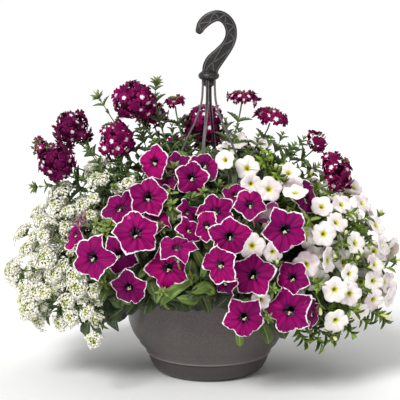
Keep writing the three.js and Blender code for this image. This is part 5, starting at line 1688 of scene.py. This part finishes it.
def front_leaves():
    for name, leaves in FRONT_LEAVES.items():
        blade = LEAF_PETUNIA if name == "petunia_plant" else LEAF_SMALL
        for u, v, tip_u, tip_v, back, wide, tone in leaves:
            foot, tip = seen_at_depth(u, v, back + 10), seen_at_depth(tip_u, tip_v, back)
            face = facing_of(14 if tip_u > u else -14, 32)
            heading = tip - foot + vec(0, 0, 0.5 * LEAF_DROOP * np.linalg.norm(tip - foot))
            long = np.linalg.norm(heading)
            heading = heading / long
            PILES[name].add(blade, lie_at(foot, heading, face, long, wide), tone, GREEN)
            short_stalk(name, foot, heading, leave=12, steps=6, radius=1.2, tone=0.5)


def trailers():
    """Leafy sprigs that hang out at the right."""
    for number, (u, v, foot_u, foot_v) in enumerate(TRAILERS):
        tip, foot = seen_at_depth(u, v, -70), seen_at_depth(foot_u, foot_v, -60)
        root = root_under("calibrachoa_plant", foot)
        path = bezier(tip, (tip + foot) / 2 + vec(0, 0, 9), foot, root, 12)
        PILES["calibrachoa_plant"].stem(path, radii=0.9, sides=5, tone=0.5)
        leafy_stem("calibrachoa_plant", path[:8], number + 40, long=20, wide=7, count=13, lean=0.8)


def rosettes():
    """Rings of young petunia leaves that open outwards."""
    for number, (u, v, long) in enumerate(ROSETTES):
        spot = seen_on_dome(u, v)
        facing = unit(outward_at(FLOWER_DOME, spot) + vec(0, -0.3, 0.4))
        for k in range(9):
            ring = 0.25 + 0.11 * k
            around = stand_at(spot, facing, LEAF_SPIN * k + 40 * number)[:3, 0]
            heading = unit(facing * (1.2 - ring) + around * ring)
            size = long * (0.6 + 0.06 * k)
            matrix = lie_at(spot - facing * 0.6 * k, heading, facing, size * 1.12, size * 0.36)
            PILES["petunia_plant"].add(LEAF_PETUNIA, matrix, 0.9 - 0.08 * k, YOUNG)
        short_stalk("petunia_plant", spot, facing, leave=20, steps=6, radius=1.3, tone=0.7)


def wilted_bloom():
    """A faded petunia at the left whose rim has folded in."""
    spot, facing = seen_on_dome(*WILTED_AT), facing_of(-52, 34)
    turn = round_steps(36)
    folds = 1 + 0.42 * np.sin(5 * turn + 1) + 0.24 * np.sin(8 * turn + 2)
    outside = [(0.3, 1.7, 0), (4, 2.2, 0), (12, 3.2, 0.3), (19, 6, 0.8), (24, 9.5, 1), (27, 9, 1)]
    inside = [(26.5, 8, 1), (23, 7.5, 1), (18, 4.5, 0.8)]
    rings = [circle(turn, size * (1 + (folds - 1) * folded), z) for z, size, folded in outside + inside]
    along = [0, 0.05, 0.2, 0.45, 0.7, 0.9, 1, 1, 0.9, 0.7, 0.5]
    body = ring_shape([vec(0, 0, 0), *rings, vec(0, 0, 12)], there_and_back(36), along)
    pile = PILES["petunia_plant"]
    pile.add(body, stand_at(spot, facing), 0.5, WILTING)
    sepals(pile, spot, facing, 5)
    short_stalk("petunia_plant", spot, facing, leave=18, steps=7, radius=1.3, tone=0.7)


def buds():
    turn = round_steps(8)
    number = 0
    for name, places in BUDS.items():
        for u, v, right, up, long in places:
            spot, facing = seen_on_dome(u, v), facing_of(right, up)
            sizes = [(1.2, 0.06), (1.7, 0.35), (2.6, 0.7), (2.4, 0.88)]
            rings = [circle(turn, size, share * long) for size, share in sizes]
            along = [0.1, 0.12, 0.2, 0.3, 0.35, 0.38]
            body = ring_shape([vec(0, 0, 0), *rings, vec(0, 0, long)], there_and_back(8), along)
            slot = BACK if name == "calibrachoa_plant" else STALK
            PILES[name].add(body, stand_at(spot, facing), 0.9, slot)
            sepals(PILES[name], spot, facing, number)
            short_stalk(name, spot, facing, leave=18, steps=7, radius=0.9, tone=0.8)
            number += 1


def shoots():
    """Verbena stems in leaf; the first of them end in a cluster of buds."""
    pile = PILES["verbena_plant"]
    for number, (u, v, foot_u, foot_v, back) in enumerate(SHOOTS):
        tip, foot = seen_at_depth(u, v, back), seen_at_depth(foot_u, foot_v, back * 0.5)
        bend = (tip + foot) / 2 + vec(0, 0, 0.12 * np.linalg.norm(tip - foot))
        path = bezier(tip, bend, foot, root_under("verbena_plant", foot), 16)
        pile.stem(path, radii=np.linspace(0.7, 1.3, 16), sides=5, tone=0.4)
        pairs = 5 + number % 3
        for k in range(pairs):
            i = 1 + int(9.0 * k / pairs)
            spin = 90 * k + 60 * draw(number)
            long = (13 + 2.6 * k) * (0.85 + 0.3 * draw(number + 5 * k))
            along = unit(path[i - 1] - path[i + 1])
            tones = [0.95 - 0.12 * k] * 2
            leaf_pair(path[i], along, spin, lean=0.9, long=long, slender=0.27, tones=tones)
        ahead = unit(tip - path[2])
        budding = number < BUDDING_SHOOTS
        for k in range(13 if budding else 4):
            around = stand_at(tip, ahead, LEAF_SPIN * k)[:3, 0]
            heading = unit(ahead + around * (0.2 + 0.13 * k))
            matrix = lie_at(tip, heading, -around, 17 - 0.5 * k if budding else 9, 2.2)
            pile.add(LEAF_SMALL, matrix, 0.95 - 0.07 * k, YOUNG_VERBENA)


def main_stem(name):
    """The stem from the root ball up into the plant's core."""
    x, y = STEM_FEET[name]
    top = on_dome(CORE_DOME, math.atan2(y, x), 0.5, 0.6)
    path = bezier(vec(x, y, 96.5), vec(x, y, 150), (vec(x, y, 150) + top) / 2, top, 8)
    PILES[name].stem(path, radii=4.6, sides=8, tone=0.3)


fill_alyssum()
tufts()
fill_bells()
front_leaves()
trailers()
rosettes()
wilted_bloom()
buds()
shoots()
ROOMS = np.array(ROOM)
fill_inner()
fill_outer()

PLANT_MATERIALS = {
    "petunia_plant": ([PETUNIA_LEAF, STEM, YOUNG_LEAF, WILTED], "petunia_green"),
    "petunia_back_plant": ([PETUNIA_LEAF, STEM, *PETAL], "petunia_green"),
    "verbena_plant": ([VERBENA_LEAF, STEM, *VERBENA, YOUNG_LEAF], "verbena_green"),
    "calibrachoa_plant": ([BELL_LEAF, STEM, *BELL], "calibrachoa"),
    "alyssum_plant": ([ALYSSUM_LEAF, STEM, *ALYSSUM], "alyssum"),
}
for name, (materials, slot) in PLANT_MATERIALS.items():
    main_stem(name)
    build(f"{name}_growth", PILES[name], materials, slot, name)


# Floor and light

FLOOR_HALF = 60.0
SKY_LIGHT = 0.52


def make_floor():
    mesh = bpy.data.meshes.new("floor")
    corners = [(x * FLOOR_HALF, y * FLOOR_HALF, 0) for x, y in ((-1, -1), (1, -1), (1, 1), (-1, 1))]
    mesh.from_pydata(corners, [], [(0, 1, 2, 3)])
    floor = bpy.data.objects.new("floor", mesh)
    white = plain_paint("floor", rgb(246, 246, 246), rgb(250, 250, 250), 2, 0.95, Specular_IOR_Level=0.0)
    mesh.materials.append(white)
    scene.collection.objects.link(floor)


def add_light(name, kind, place, aim, power, size):
    """A sun, whose size is its angle in degrees, or a square lamp, whose size is in metres."""
    data = bpy.data.lights.new(name, kind)
    data.energy = power
    if kind == "SUN":
        data.angle = math.radians(size)
    else:
        data.size = size
    light = bpy.data.objects.new(name, data)
    light.location = place
    light.rotation_euler = (Vector(aim) - Vector(place)).to_track_quat("-Z", "Y").to_euler()
    scene.collection.objects.link(light)


make_floor()
add_light("key", "SUN", place=(-1.2, -1.9, 2.6), aim=(0, 0, 0.25), power=2.45, size=24)
add_light("rim", "AREA", place=(0.6, 1.9, 1.8), aim=(0, 0, 0.3), power=14, size=1.4)
world = bpy.data.worlds.new("studio")
world.use_nodes = True
world.node_tree.nodes["Background"].inputs[0].default_value = (1, 1, 1, 1)
world.node_tree.nodes["Background"].inputs[1].default_value = SKY_LIGHT
scene.world = world
